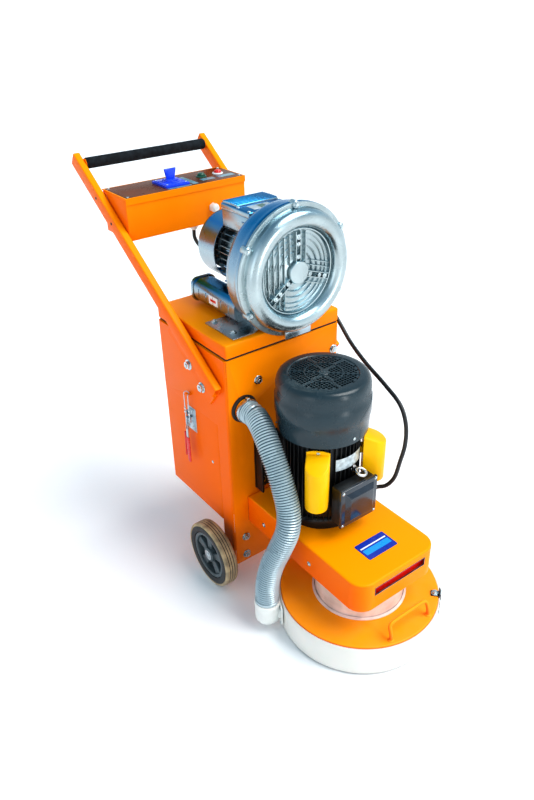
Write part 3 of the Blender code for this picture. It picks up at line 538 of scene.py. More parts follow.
def sweptTube(spots, radii, count):
    shape = bmesh.new()  # rings along the route, bridged one to the next, with closed ends
    side = Vector((1, 0, 0))
    rings = []
    for index, spot in enumerate(spots):
        along = (spots[min(index + 1, len(spots) - 1)] - spots[max(index - 1, 0)]).normalized()
        side = (side - along * side.dot(along)).normalized()
        rings.append(ringAt(shape, spot, along, side, radii[index], count))
    for ring, following in zip(rings, rings[1:]):
        for k in range(count):
            shape.faces.new((ring[k], ring[(k + 1) % count], following[(k + 1) % count], following[k]))
    shape.faces.new(rings[0][::-1])
    shape.faces.new(rings[-1])
    bmesh.ops.recalc_face_normals(shape, faces=shape.faces)
    return shape


def makeHose():
    steps = hoseMake["steps"]
    spots = smoothRoute(hoseRoute, hoseMake["pitch"] / steps)
    radii = []
    for index in range(len(spots)):
        wave = (1 + math.cos(2 * math.pi * index / steps)) / 2
        radii.append(hoseMake["groove"] + (hoseMake["radius"] - hoseMake["groove"]) * wave)
    hose = piece("corrugatedHose", sweptTube(spots, radii, hoseMake["sides"]), "hose", None, sharp=75,
                 replaces=("vacuum_hose",))
    # the valley faces of each corrugation get the darker colour: painted shade in the grooves
    hose.data.materials.append(paints["groove"])
    for number, face in enumerate(hose.data.polygons):
        if number // hoseMake["sides"] % steps in (2, 3):
            face.material_index = 1
    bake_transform(hose)
    print("hose", round(routeLength(spots), 3))


def makeCable():
    spots = smoothRoute(cableRoute, 0.006)
    cable = piece("motorLead", sweptTube(spots, [0.0055] * len(spots), 16), "cable", "chassis", sharp=75,
                  replaces=("motor_cable",))
    print("cable", round(routeLength(spots), 3))


makeHose()
makeCable()
print("cords")


def carve(shape, *cutters):
    whole = bpy.data.meshes.new("whole")  # cuts the cutters out of the shape
    shape.to_mesh(whole)
    shape.free()
    body = bpy.data.objects.new("carveBody", whole)
    scene.collection.objects.link(body)
    tools = []
    for cutter in cutters:
        mesh = bpy.data.meshes.new("cutter")
        cutter.to_mesh(mesh)
        cutter.free()
        tool = bpy.data.objects.new("carveTool", mesh)
        scene.collection.objects.link(tool)
        step = body.modifiers.new("carve", "BOOLEAN")
        step.object = tool
        step.operation = "DIFFERENCE"
        tools.append(tool)
    bpy.context.view_layer.update()
    graph = bpy.context.evaluated_depsgraph_get()
    done = bpy.data.meshes.new_from_object(body.evaluated_get(graph))
    result = bmesh.new()
    result.from_mesh(done)
    for thing in tools + [body]:
        bpy.data.objects.remove(thing, do_unlink=True)
    return result


# ---- blower

blower = {"centre": (0.022, -0.094, 0.921), "lugRadius": 0.166, "lugs": 6, "fins": 30, "finRoot": 0.064,
          "finTip": 0.079, "arms": (90, 217, 341), "discRadius": 0.105}
blowerFrame = Matrix(((1, 0, 0, 0), (0, 0, -1, 0), (0, 1, 0, 0), (0, 0, 0, 1)))  # seen from the front: X right, Y up
blowerFrame.translation = Vector(blower["centre"])


def makeBlowerCover():
    shape = bmesh.new()
    rim = [(0.1705, 0.0004), (0.1712, 0.0016), (0.1712, 0.0050), (0.1700, 0.0066), (0.1590, 0.0070)]
    torus = [(0.1350 + 0.0225 * math.cos(math.radians(a)), 0.0150 + 0.0225 * math.sin(math.radians(a)))
             for a in range(-10, 171, 10)]
    dish = [(0.1115, 0.0130), (0.1095, 0.0165), (0.1070, 0.0160), (0.1050, 0.0090), (0.1040, 0.0078),
            (0.0340, 0.0078), (0.0300, 0.0100), (0.0290, 0.0220), (0.0275, 0.0240), (0.0, 0.0246)]
    pour(shape, lathe(rim + torus + dish, 128))
    reach = blower["discRadius"]
    for angle in blower["arms"]:
        turn = Matrix.Rotation(math.radians(angle), 4, "Z")
        for offset in (-0.0070, 0.0070):
            pour(shape, block((0.028, offset - 0.0013, 0.006), (0.104, offset + 0.0013, 0.0200), 0.0006), turn)
        pour(shape, rodShape((0.090, 0, 0.006), (0.090, 0, 0.0215), 0.0074, 20, bevel=0.0012), turn)
        pour(shape, rodShape((0.072, 0, 0.006), (0.072, 0, 0.0205), 0.0060, 18, bevel=0.0010), turn)
        pour(shape, rodShape((0.040, 0, 0.006), (0.040, 0, 0.0200), 0.0062, 18, bevel=0.0010), turn)
    for k in range(8):
        x = -0.090 + 0.0165 * k
        top = math.sqrt(reach ** 2 - x ** 2) - 0.002
        start = -top if x < -0.035 else math.sqrt(max(0.0, 0.032 ** 2 - x ** 2))
        pour(shape, block((x - 0.0012, start, 0.006), (x + 0.0012, top, 0.0165), 0.0006))
    for offset in (-0.022, 0.022, 0.034):
        turn = Matrix.Rotation(math.radians(blower["arms"][2]), 4, "Z")
        stop = math.sqrt(reach ** 2 - offset ** 2) - 0.002
        pour(shape, block((0.036, offset - 0.0012, 0.006), (stop, offset + 0.0012, 0.0150), 0.0006), turn)
    for radius in (0.052, 0.068, 0.084, 0.096):
        pour(shape, lathe([(radius - 0.0013, 0.006), (radius - 0.0011, 0.0108), (radius, 0.0114),
                           (radius + 0.0011, 0.0108), (radius + 0.0013, 0.006)], 96, closed=True))
    for index in range(blower["lugs"]):
        turn = Matrix.Rotation(math.radians(60 * index + 30), 4, "Z")
        pour(shape, lathe([(0.0, -0.0090), (0.0098, -0.0090), (0.0104, -0.0080), (0.0100, 0.0110), (0.0088, 0.0122),
                           (0.0, 0.0122)], 24), turn @ Matrix.Translation((blower["lugRadius"], 0, 0)))
    bmesh.ops.transform(shape, matrix=blowerFrame, verts=shape.verts)
    piece("blowerCoverCasting", shape, "cast", "chassis", sharp=40, replaces=("blower_cover",))
    spots = []
    for index in range(blower["lugs"]):
        angle = math.radians(60 * index + 30)
        spots.append(blowerFrame @ Vector((blower["lugRadius"] * math.cos(angle),
                                           blower["lugRadius"] * math.sin(angle), 0.0122)))
    bolts("blowerRimBolts", spots, (0, -1, 0), 0.0038, "chassis")
    inner = [blowerFrame @ Vector((radius * math.cos(math.radians(angle)), radius * math.sin(math.radians(angle)),
                                   height)) for angle in blower["arms"] for radius, height in ((0.090, 0.0215),
                                                                                              (0.072, 0.0205))]
    bolts("blowerFaceScrews", inner, (0, -1, 0), 0.0024, "chassis", domed=True)


def makeBlowerHousing():
    profile = [(0.1705, -0.0004), (0.1712, -0.0016), (0.1712, -0.0085), (0.1700, -0.0098), (0.1650, -0.0104),
               (0.1640, -0.0120), (0.1642, -0.0300), (0.1635, -0.0500), (0.1610, -0.0620), (0.1540, -0.0720),
               (0.1420, -0.0790), (0.1250, -0.0830), (0.1000, -0.0850), (0.0870, -0.0860), (0.0850, -0.0880),
               (0.0850, -0.0975), (0.0200, -0.0980), (0.0200, -0.0800), (0.1330, -0.0740), (0.1450, -0.0600),
               (0.1450, -0.0004)]
    shape = bmesh.new()
    pour(shape, lathe(profile, 128, closed=True))
    low = block((-0.3, -0.3, -0.3), (0.3, -0.1480, 0.3))
    shape = carve(shape, low)
    for k in range(24):
        turn = Matrix.Rotation(math.radians(15 * k + 7), 4, "Z")
        if math.sin(math.radians(15 * k + 7)) > -0.75:
            pour(shape, block((0.090, -0.0012, -0.0900), (0.150, 0.0012, -0.0760), 0.0007), turn)
    bmesh.ops.transform(shape, matrix=blowerFrame, verts=shape.verts)
    piece("blowerHousingCasting", shape, "bluishCastPaintedSky", "chassis", sharp=40, replaces=("blower_housing",))


def makeBlowerMotor():
    shape = bmesh.new()
    root, tip = blower["finRoot"], blower["finTip"]
    pour(shape, lathe([(0.0170, -0.0984), (0.078, -0.0984), (0.0785, -0.1000), (0.0785, -0.1080), (root, -0.1090),
                       (root, -0.2440), (0.0170, -0.2450), (0.0170, -0.2380), (0.050, -0.2320), (0.050, -0.1100),
                       (0.0170, -0.1050)], 72, closed=True))
    for k in range(blower["fins"]):
        turn = Matrix.Rotation(2 * math.pi * (k + 0.5) / blower["fins"], 4, "Z")
        pour(shape, block((root - 0.002, -0.0011, -0.2430), (tip, 0.0011, -0.1060), 0.0006, 1), turn)
    bmesh.ops.transform(shape, matrix=blowerFrame, verts=shape.verts)
    piece("blowerMotorFins", shape, "cast", "chassis", sharp=40, replaces=("blower_motor",))
    cowl = bmesh.new()
    pour(cowl, lathe([(0.0790, -0.3120), (0.0850, -0.3090), (0.0888, -0.3030), (0.0900, -0.2950), (0.0900, -0.2280),
                      (0.0905, -0.2262), (0.0890, -0.2255), (0.0882, -0.2280), (0.0880, -0.2960), (0.0860, -0.3020),
                      (0.0790, -0.3080)], 96, closed=True))
    for radius in (0.020, 0.032, 0.044, 0.056, 0.068):
        pour(cowl, lathe([(radius + 0.0022, -0.3080), (radius + 0.0022, -0.3112), (radius - 0.0022, -0.3112),
                          (radius - 0.0022, -0.3080)], 64, closed=True))
    for k in range(8):
        pour(cowl, block((0.010, -0.0022, -0.3106), (0.0800, 0.0022, -0.3082), 0.0006, 1),
             Matrix.Rotation(math.radians(45 * k), 4, "Z"))
    pour(cowl, lathe([(0.0, -0.3120), (0.012, -0.3118), (0.014, -0.3100), (0.014, -0.3080), (0.0, -0.3080)], 32))
    bmesh.ops.transform(cowl, matrix=blowerFrame, verts=cowl.verts)
    piece("blowerMotorCowl", cowl, "bluishCastPaintedSky", "chassis", sharp=40, replaces=("blower_cowl",))


def makeBlowerTerminalBox():
    shape = bmesh.new()
    pour(shape, block((-0.037, 0.0045, 0.9930), (0.097, 0.129, 1.0400), 0.004))
    pour(shape, block((-0.040, 0.0045, 1.0380), (0.100, 0.131, 1.0545), 0.005, 3))
    for k in range(7):
        y = 0.068 + 0.0095 * k
        lift = 0.0052 - 0.00022 * (k - 2) ** 2
        pour(shape, rodShape((-0.034, y, 1.0535 + lift * 0.4), (0.094, y, 1.0535 + lift * 0.4), 0.0056, 16,
                             bevel=0.0018))
    for k in range(9):
        x = -0.030 + 0.0150 * k
        pour(shape, block((x - 0.0012, 0.0010, 1.0020), (x + 0.0012, 0.0060, 1.0340), 0.0006, 1))
    piece("blowerTerminalBox", shape, "bluishCastPaintedSky", "chassis", sharp=40, replaces=("blower_terminal_box",))
    bolts("terminalBoxScrews", [(x, y, 1.0540) for x in (-0.033, 0.093) for y in (0.012, 0.060)], (0, 0, 1), 0.0026,
          "chassis", domed=True)
    label = bmesh.new()
    pour(label, block((-0.012, 0.0190, 1.0543), (0.052, 0.0530, 1.0552), 0.0003, 1))
    piece("ratingLabel", label, "labelGrey", "chassis")
    stripe = bmesh.new()
    pour(stripe, block((0.014, 0.0240, 1.0550), (0.034, 0.0470, 1.0556), 0.0002, 1))
    piece("ratingLabelStripe", stripe, "green", "chassis")


def makeSilencers():
    for side, word in ((-1, "left"), (1, "right")):
        near, far = sorted((blower["centre"][0] + side * 0.054, blower["centre"][0] + side * 0.126))
        shape = bmesh.new()
        tube = block((near, -0.0072, 0.7780), (far, 0.1980, 0.8420))
        long = [edge for edge in tube.edges if abs(edge.verts[0].co.y - edge.verts[1].co.y) > 0.01]
        bmesh.ops.bevel(tube, geom=long, affect="EDGES", offset=0.024, segments=8, profile=0.5, material=-1)
        pour(shape, tube)
        cap = block((near - 0.002, 0.1900, 0.7760), (far + 0.002, 0.1990, 0.8440))
        long = [edge for edge in cap.edges if abs(edge.verts[0].co.y - edge.verts[1].co.y) > 0.005]
        bmesh.ops.bevel(cap, geom=long, affect="EDGES", offset=0.020, segments=6, profile=0.5, material=-1)
        pour(shape, cap)
        middle = (near + far) / 2
        pour(shape, lathe([(0.0, 0.0), (0.022, 0.0), (0.024, 0.002), (0.024, 0.006), (0.0, 0.007)], 32),
             facing((middle, 0.199, 0.810), (0, 1, 0)))
        for k in range(5):
            y = 0.020 + 0.036 * k
            pour(shape, block((near - 0.0012, y - 0.0012, 0.798), (far + 0.0012, y + 0.0012, 0.822), 0.0006, 1))
        pour(shape, block((middle - 0.014, -0.0072, 0.8000), (middle + 0.014, 0.020, 0.8600), 0.004))
        piece("silencer_" + word + "_body", shape, "bluishCastPaintedSky", "chassis", sharp=40, replaces=("silencer_" + word,))
        bolts("silencerCapBolts_" + word, [(x, 0.1990, z) for x in (near + 0.010, far - 0.010)
                                           for z in (0.790, 0.830)], (0, 1, 0), 0.0026, "chassis")
    label = bmesh.new()
    pour(label, block((-0.1048, 0.070, 0.7990), (-0.1038, 0.112, 0.8230), 0.0003, 1))
    piece("silencerLabel", label, "labelWhite", "chassis")
    bar = bmesh.new()
    pour(bar, block((-0.1052, 0.078, 0.8075), (-0.1044, 0.104, 0.8145), 0.0002, 1))
    piece("silencerLabelBar", bar, "red", "chassis")


def makeBlowerFeet():
    shape = bmesh.new()
    outline = [(-0.152, 0.7704), (-0.088, 0.7704), (-0.070, 0.7790), (-0.058, 0.7960), (-0.030, 0.8040),
               (-0.030, 0.8070), (-0.060, 0.7990), (-0.073, 0.7815), (-0.089, 0.7736), (-0.152, 0.7736)]
    upright = Matrix(((1, 0, 0, 0), (0, 0, -1, 0), (0, 1, 0, 0), (0, 0, 0, 1)))
    pour(shape, prism(outline, -0.062, 0.070, 0.0008, 1), upright)
    mirrored = [(0.016 - x, z) for x, z in reversed(outline)]
    pour(shape, prism(mirrored, -0.062, 0.070, 0.0008, 1), upright)
    piece("blowerFeet", shape, "zinc", "chassis", replaces=("blower_base",))
    bolts("blowerFootBolts", [(x, y, 0.7736) for x in (-0.130, 0.146) for y in (-0.038, 0.048)], (0, 0, 1), 0.0048,
          "chassis")
    bracket = bmesh.new()
    pour(bracket, block((-0.020, -0.1130, 0.7480), (0.064, -0.1085, 0.7700), 0.001))
    pour(bracket, block((-0.020, -0.1130, 0.7660), (0.064, -0.0830, 0.7700), 0.001))
    piece("blowerFrontBracket", bracket, "zinc", "chassis")


makeBlowerCover()
makeBlowerHousing()
makeBlowerMotor()
makeBlowerTerminalBox()
makeSilencers()
makeBlowerFeet()
print("blower")


# ---- grinder motor

motor = {"x": -0.004, "y": -0.245, "fins": 44, "finRoot": 0.0905, "finTip": 0.1010, "low": 0.3085, "high": 0.5480,
         "grilleRadius": 0.0870, "cell": 0.0086}
motorFrame = Matrix.Translation((motor["x"], motor["y"], 0))


def makeMotorBody():
    shape = bmesh.new()
    pour(shape, lathe([(0.0165, 0.5720), (0.0820, 0.5720), (0.0880, 0.5690), (0.0895, 0.5500),
                       (motor["finRoot"], 0.5460), (motor["finRoot"], 0.3140), (0.0960, 0.3110), (0.0985, 0.3060),
                       (0.0985, 0.2820), (0.0975, 0.2798), (0.0165, 0.2796), (0.0165, 0.3060), (0.0700, 0.3100),
                       (0.0700, 0.5380), (0.0165, 0.5420)], 96, closed=True))
    for k in range(motor["fins"]):
        turn = Matrix.Rotation(2 * math.pi * (k + 0.5) / motor["fins"], 4, "Z")
        pour(shape, block((motor["finRoot"] - 0.002, -0.0010, motor["low"]),
                          (motor["finTip"], 0.0010, motor["high"]), 0.0006, 1), turn)
    bmesh.ops.transform(shape, matrix=motorFrame, verts=shape.verts)
    piece("motorFinnedBody", shape, "motor", "chassis", sharp=40, replaces=("motor_body",))


def makeFanCowl():
    outer = [(0.0880, 0.7040), (0.0900, 0.7060), (0.1030, 0.7060), (0.1090, 0.7045), (0.1150, 0.7005),
             (0.1188, 0.6930), (0.1208, 0.6850), (0.1212, 0.6700), (0.1212, 0.6530), (0.1240, 0.6490),
             (0.1244, 0.6300), (0.1240, 0.6090), (0.1216, 0.6050), (0.1206, 0.5800), (0.1188, 0.5532)]
    inner = [(0.1168, 0.5532), (0.1190, 0.6050), (0.1210, 0.6500), (0.1200, 0.6800), (0.1170, 0.6920),
             (0.1080, 0.7010), (0.0880, 0.7015)]
    shape = bmesh.new()
    pour(shape, lathe(outer + inner, 128, closed=True))
    count = int(2 * motor["grilleRadius"] / motor["cell"]) + 1
    grid = bmesh.new()
    bmesh.ops.create_grid(grid, x_segments=count, y_segments=count, size=count * motor["cell"] / 2)
    bmesh.ops.inset_individual(grid, faces=grid.faces, thickness=0.0013, depth=0)
    holes = []
    for face in grid.faces:
        middle = face.calc_center_median()
        clear = all(abs(middle.x * math.sin(a) - middle.y * math.cos(a)) > 0.0040
                    for a in (math.radians(60 * k + 15) for k in range(3)))
        if face.calc_area() > 0.3 * motor["cell"] ** 2 and clear and 0.016 < middle.length < 0.083:
            holes.append(face)
    bmesh.ops.delete(grid, geom=holes, context="FACES")
    rimmed = [face for face in grid.faces if face.calc_center_median().length > 0.0885]
    bmesh.ops.delete(grid, geom=rimmed, context="FACES")
    bmesh.ops.recalc_face_normals(grid, faces=grid.faces)
    thick = bmesh.ops.extrude_face_region(grid, geom=list(grid.faces))["geom"]
    bmesh.ops.translate(grid, vec=(0, 0, 0.0022), verts=[v for v in thick if isinstance(v, bmesh.types.BMVert)])
    bmesh.ops.recalc_face_normals(grid, faces=grid.faces)
    pour(shape, grid, Matrix.Translation((0, 0, 0.7018)))
    for k in range(6):
        pour(shape, block((0.008, -0.0022, 0.7030), (0.0890, 0.0022, 0.7052), 0.0008, 1),
             Matrix.Rotation(math.radians(60 * k + 15), 4, "Z"))
    pour(shape, lathe([(0.0, 0.7062), (0.0130, 0.7060), (0.0150, 0.7045), (0.0150, 0.7020), (0.0, 0.7020)], 36))
    pour(shape, lathe([(0.0470, 0.7020), (0.0470, 0.7052), (0.0500, 0.7052), (0.0500, 0.7020)], 72, closed=True))
    bmesh.ops.transform(shape, matrix=motorFrame, verts=shape.verts)
    piece("fanCowlMoulding", shape, "slate", "chassis", sharp=35, replaces=("fan_cowl",))
    spots = [motorFrame @ Vector((0.1205 * math.cos(math.radians(a)), 0.1205 * math.sin(math.radians(a)), 0.5680))
             for a in (30, 150, 270)]
    shape = bmesh.new()
    for spot in spots:
        out = Vector((spot.x - motor["x"], spot.y - motor["y"], 0))
        pour(shape, boltShape(0.0022, True), facing(spot, out))
    piece("fanCowlScrews", shape, "bolt", "chassis")


def makeCapacitors():
    for word, angle in (("left", 224), ("right", 320)):
        outline = [(0.1070, -0.0300)] + arc((0.1380, 0), 0.0300, -90, 90, 18) + [(0.1070, 0.0300)]
        can = prism(outline, 0.3860, 0.5300, 0.0045, 3)
        for vert in can.verts:
            if vert.co.z > 0.5:
                vert.co.z -= max(0.0, vert.co.x - 0.112) * 0.42
            else:
                vert.co.xy = vert.co.xy * 0.985 + Vector((0.0018, 0))
        shape = bmesh.new()
        pour(shape, can)
        tab = [(-0.0300, 0.480), (0.0300, 0.480), (0.0300, 0.5360), (0.0120, 0.5405), (-0.0120, 0.5405),
               (-0.0300, 0.5360)]
        stand = Matrix(((0, 0, 1, 0), (1, 0, 0, 0), (0, 1, 0, 0), (0, 0, 0, 1)))
        pour(shape, prism(tab, 0.1062, 0.1098, 0.0008, 1), stand)
        pour(shape, block((0.0900, -0.012, 0.4700), (0.1075, 0.012, 0.4900), 0.001))
        turn = motorFrame @ Matrix.Rotation(math.radians(angle), 4, "Z")
        bmesh.ops.transform(shape, matrix=turn, verts=shape.verts)
        piece("capacitorCover_" + word, shape, "yellow", "chassis", sharp=40, replaces=("capacitor_" + word,))
        screw = bmesh.new()
        pour(screw, boltShape(0.0026, True), turn @ facing((0.1098, 0, 0.5330), (1, 0, 0)))
        piece("capacitorScrew_" + word, screw, "bolt", "chassis")


def makeMotorTerminal():
    softened("terminal_box", "motor", "chassis", 0.0015, "terminalBoxCase")
    lid = block((-0.0615, -0.3895, 0.3220), (0.0635, -0.3803, 0.4400), 0.0028, 3)
    shape = bmesh.new()
    pour(shape, lid)
    raised = block((-0.0480, -0.3900, 0.3360), (0.0500, -0.3880, 0.4260))
    front = min(raised.faces, key=lambda face: face.calc_center_median().y)
    grown = bmesh.ops.extrude_face_region(raised, geom=[front])["geom"]
    tips = [vert for vert in grown if isinstance(vert, bmesh.types.BMVert)]
    bmesh.ops.translate(raised, vec=(0, -0.0105, 0), verts=tips)
    bmesh.ops.scale(raised, vec=(0.80, 1, 0.76), verts=tips, space=Matrix.Translation((-0.001, 0, -0.381)))
    bmesh.ops.bevel(raised, geom=list(raised.edges), affect="EDGES", offset=0.0016, segments=3, profile=0.5,
                    material=-1)
    pour(shape, raised)
    piece("terminalLidMoulding", shape, "terminal", "chassis", sharp=30, replaces=("terminal_lid",))
    bolts("terminalLidScrews", [(x, -0.3893, z) for x in (-0.0545, 0.0565) for z in (0.3290, 0.4330)], (0, -1, 0),
          0.0024, "chassis", domed=True)
    gland = bmesh.new()
    for low, high, radius, sides in ((0.0600, 0.0660, 0.0110, 6), (0.0660, 0.0690, 0.0085, 24),
                                     (0.0690, 0.0755, 0.0098, 12)):
        pour(gland, rodShape((low, -0.363, 0.372), (high, -0.363, 0.372), radius, sides, bevel=0.0010))
    piece("terminalGland", gland, "motor", "chassis", sharp=30)
    eye = bmesh.new()
    ring = bmesh.new()
    loop = [(0.0130 + 0.0042 * math.cos(math.radians(30 * k)), 0.0042 * math.sin(math.radians(30 * k)))
            for k in range(12)]
    pour(ring, lathe(loop, 40, closed=True))
    pour(eye, ring, facing((0.0250, -0.3660, 0.4540), (0.1, -0.35, 1)))
    pour(eye, rodShape((0.0240, -0.3330, 0.4500), (0.0245, -0.3540, 0.4525), 0.0058, 20, bevel=0.001))
    pour(eye, rodShape((0.0240, -0.3330, 0.4500), (0.0242, -0.3410, 0.4510), 0.0100, 24, bevel=0.0015))
    piece("liftingEye", eye, "steel", "chassis", sharp=50)
    plate = lathe([(0.1022, 0.4700), (0.1028, 0.4700), (0.1028, 0.5050), (0.1022, 0.5050)], 120, closed=True)
    plateSpan = (248, 302)
    gone = [vert for vert in plate.verts
            if not plateSpan[0] <= math.degrees(math.atan2(vert.co.y, vert.co.x)) % 360 <= plateSpan[1]]
    bmesh.ops.delete(plate, geom=gone, context="VERTS")
    bmesh.ops.holes_fill(plate, edges=[edge for edge in plate.edges if edge.is_boundary])
    bmesh.ops.recalc_face_normals(plate, faces=plate.faces)
    bmesh.ops.transform(plate, matrix=motorFrame, verts=plate.verts)
    piece("motorNameplate", plate, "labelGrey", "chassis")


makeMotorBody()
makeFanCowl()
makeCapacitors()
makeMotorTerminal()
print("grinder motor")


# ---- tank, bin, lid and frame

def makeTank():
    softened("tank_shell", "orange", "chassis", 0.0012, "tankShellSheet")
    softened("tank_lid", "orange", "chassis", 0.0022, "tankLidSheet")
    softened("dust_bin", "orange", "dust_bin", 0.0012, "dustBinSheet")
    for word in ("left", "right"):
        softened("arm_" + word, "orange", "chassis", 0.0012, "handleArm_" + word)
    portFace = facing((-0.140, -0.084, 0.575), (0, -1, 0))
    port = bmesh.new()
    pour(port, lathe([(0.0306, 0.0004), (0.0385, 0.0004), (0.0396, 0.0025), (0.0388, 0.0062), (0.0360, 0.0078),
                      (0.0325, 0.0080), (0.0306, 0.0066)], 56, closed=True), portFace)
    piece("hosePortGrommet", port, "rubber", "chassis")
    collar = bmesh.new()
    pour(collar, lathe([(0.0322, 0.0145), (0.0336, 0.0145), (0.0342, 0.0160), (0.0342, 0.0235), (0.0336, 0.0250),
                        (0.0322, 0.0250)], 56, closed=True), portFace)
    pour(collar, block((-0.1440, -0.1090, 0.6080), (-0.1360, -0.0985, 0.6150), 0.0008, 1))
    piece("hosePortClamp", collar, "zinc", "chassis")
    bolts("tankFrontBolts", [(-0.090, -0.0842, 0.643), (0.171, -0.0842, 0.650)], (0, -1, 0), 0.0066, "chassis")
    bolts("deckSlotBolts", [(x, -0.0842, z) for x in (-0.151, 0.151) for z in (0.068, 0.135)], (0, -1, 0), 0.0068,
          "chassis")
    for side, word in ((-1, "left"), (1, "right")):
        face = side * 0.1964
        bolts("gussetBolts_" + word, [(face, 0.088, 0.652), (face, 0.027, 0.608)], (side, 0, 0), 0.0080, "chassis")
        bolts("binSideScrew_" + word, [(side * 0.1892, 0.010, 0.369)], (side, 0, 0), 0.0024, "dust_bin", domed=True)
        # dark discs at the arm's holes: painted shade inside the holes
        holes = bmesh.new()
        along = Vector((side * 0.0095, 0.673, 0.4815)).normalized()
        for share in (0.700, 0.815):
            spot = Vector((side * 0.2025, -0.056, 0.630)).lerp(Vector((side * 0.2120, 0.617, 1.1115)), share)
            out = (Vector((side, 0, 0)) - along * side * along.x).normalized()
            pour(holes, lathe([(0.0, 0.0), (0.0036, 0.0), (0.0040, 0.0006), (0.0, 0.0009)], 18),
                 facing(spot + out * 0.0099, out))
        piece("armHoleShade_" + word, holes, "dark", "chassis")
    backing = bmesh.new()
    pour(backing, block((-0.112, -0.0960, 0.3000), (0.104, -0.0845, 0.4700), 0.0015))
    for x in (-0.112, 0.098):
        pour(backing, block((x, -0.1220, 0.3000), (x + 0.006, -0.0900, 0.4700), 0.0012))
    piece("motorBackingChannel", backing, "motor", "chassis")
    bolts("backingBolts", [(-0.092, -0.0962, 0.326), (0.084, -0.0962, 0.326), (-0.092, -0.0962, 0.446)], (0, -1, 0),
          0.0052, "chassis")
    edge = bmesh.new()
    for low, high in (((-0.189, -0.0290, 0.182), (-0.1878, -0.0282, 0.5140)),
                      ((0.1878, -0.0290, 0.182), (0.189, -0.0282, 0.5140))):
        pour(edge, block(low, high))
    piece("binSealStrip", edge, "rubber", "chassis")
    handle = sweptTube(smoothRoute([(-0.060, 0.2556, 0.420), (-0.060, 0.268, 0.420), (-0.0595, 0.280, 0.420),
                                    (-0.057, 0.2895, 0.420), (-0.048, 0.2945, 0.420), (0.0, 0.295, 0.420),
                                    (0.048, 0.2945, 0.420), (0.057, 0.2895, 0.420), (0.0595, 0.280, 0.420),
                                    (0.060, 0.268, 0.420), (0.060, 0.2556, 0.420)], 0.003), [0.005] * 200, 16)
    piece("binPullHandle", handle, "zinc", "dust_bin", sharp=60, replaces=("bin_handle",))
    feet = bmesh.new()
    for x in (-0.060, 0.060):
        pour(feet, lathe([(0.0, 0.0), (0.012, 0.0), (0.0125, 0.001), (0.0115, 0.0028), (0.0060, 0.0040),
                          (0.0, 0.0040)],
                         32), facing((x, 0.2551, 0.420), (0, 1, 0)))
    piece("binHandleFeet", feet, "zinc", "dust_bin")


# ---- side latches

def makeLatch(side, word):
    softened("latch_base_" + word, "zinc", "dust_bin", 0.0004, "latchPlate_" + word)
    plate = bmesh.new()
    low, high = sorted((side * 0.1891, side * 0.1904))
    pour(plate, block((low, 0.0850, 0.4280), (high, 0.1270, 0.5060), 0.0005, 1))
    for height in (0.4500, 0.4850):
        low, high = sorted((side * 0.1904, side * 0.1990))
        pour(plate, block((low, 0.1190, height - 0.0090), (high, 0.1204, height + 0.0090), 0.0004, 1))
    piece("latchBacking_" + word, plate, "zinc", "dust_bin")
    rivets = bmesh.new()
    for y in (0.0965, 0.1155):
        for z in (0.446, 0.494):
            pour(rivets, boltShape(0.0017, True), facing((side * 0.1925, y, z), (side, 0, 0)))
    piece("latchRivets_" + word, rivets, "bolt", "dust_bin")
    lever = bmesh.new()
    outline = [(0.1975, 0.4740), (0.2010, 0.4765), (0.2050, 0.4740), (0.2080, 0.4560), (0.2110, 0.4440),
               (0.2110, 0.3980), (0.2080, 0.3980), (0.2075, 0.4400), (0.2030, 0.4470), (0.1980, 0.4620)]
    spots = [(side * x, z) for x, z in (outline if side > 0 else outline[::-1])]
    upright = Matrix(((1, 0, 0, 0), (0, 0, -1, 0), (0, 1, 0, 0), (0, 0, 0, 1)))
    for low, high in ((-0.1110, -0.1096), (-0.1024, -0.1010)):
        pour(lever, prism(spots, low, high, 0.0002, 1), upright)
    pour(lever, block(tuple(sorted((side * 0.2078, side * 0.2110)))[:1] + (0.1015, 0.3960),
                      tuple(sorted((side * 0.2078, side * 0.2110)))[1:] + (0.1105, 0.4400), 0.0006, 1))
    pour(lever, rodShape((side * 0.2010, 0.0975, 0.470), (side * 0.2010, 0.1145, 0.470), 0.0022, 18, bevel=0.0004))
    pour(lever, rodShape((side * 0.2045, 0.0970, 0.452), (side * 0.2045, 0.1150, 0.452), 0.0018, 18, bevel=0.0004))
    piece("latchCheeks_" + word, lever, "zinc", "latch_" + word, sharp=40, replaces=("latch_lever_" + word,))
    grip = bmesh.new()
    spots = smoothRoute([(side * 0.2094, 0.106, 0.4120), (side * 0.2098, 0.106, 0.385), (side * 0.2100, 0.106, 0.355),
                         (side * 0.2094, 0.106, 0.3262)], 0.003)
    radii = [0.0058 - 0.0009 * abs(2 * k / (len(spots) - 1) - 1) ** 3 for k in range(len(spots))]
    radii[0], radii[-1] = 0.0044, 0.0036
    tube = sweptTube(spots, radii, 20)
    sleeveMiddle = Matrix.Translation((-side * 0.2096, -0.106, 0))
    bmesh.ops.scale(tube, vec=(0.55, 1.5, 1.0), verts=tube.verts, space=sleeveMiddle)
    pour(grip, tube)
    pour(grip, rodShape((side * 0.2085, 0.1205, 0.4240), (side * 0.2100, 0.1215, 0.3420), 0.0026, 14, bevel=0.0008))
    piece("latchGrip_" + word, grip, "red", "latch_" + word, sharp=60)
    nuts = bmesh.new()
    for y in (0.0955, 0.1165):
        pour(nuts, rodShape((side * 0.2045, y, 0.4900), (side * 0.2045, y, 0.4945), 0.0034, 6, bevel=0.0004))
        pour(nuts, rodShape((side * 0.2045, y, 0.5020), (side * 0.2045, y, 0.5060), 0.0030, 6, bevel=0.0004))
    piece("latchNuts_" + word, nuts, "bolt", "hook_" + word)


# ---- grip and control box

control = {"knob": (-0.020, 0.415, 1.052), "start": (0.089, 0.425), "stop": (0.147, 0.425), "top": 1.0438}


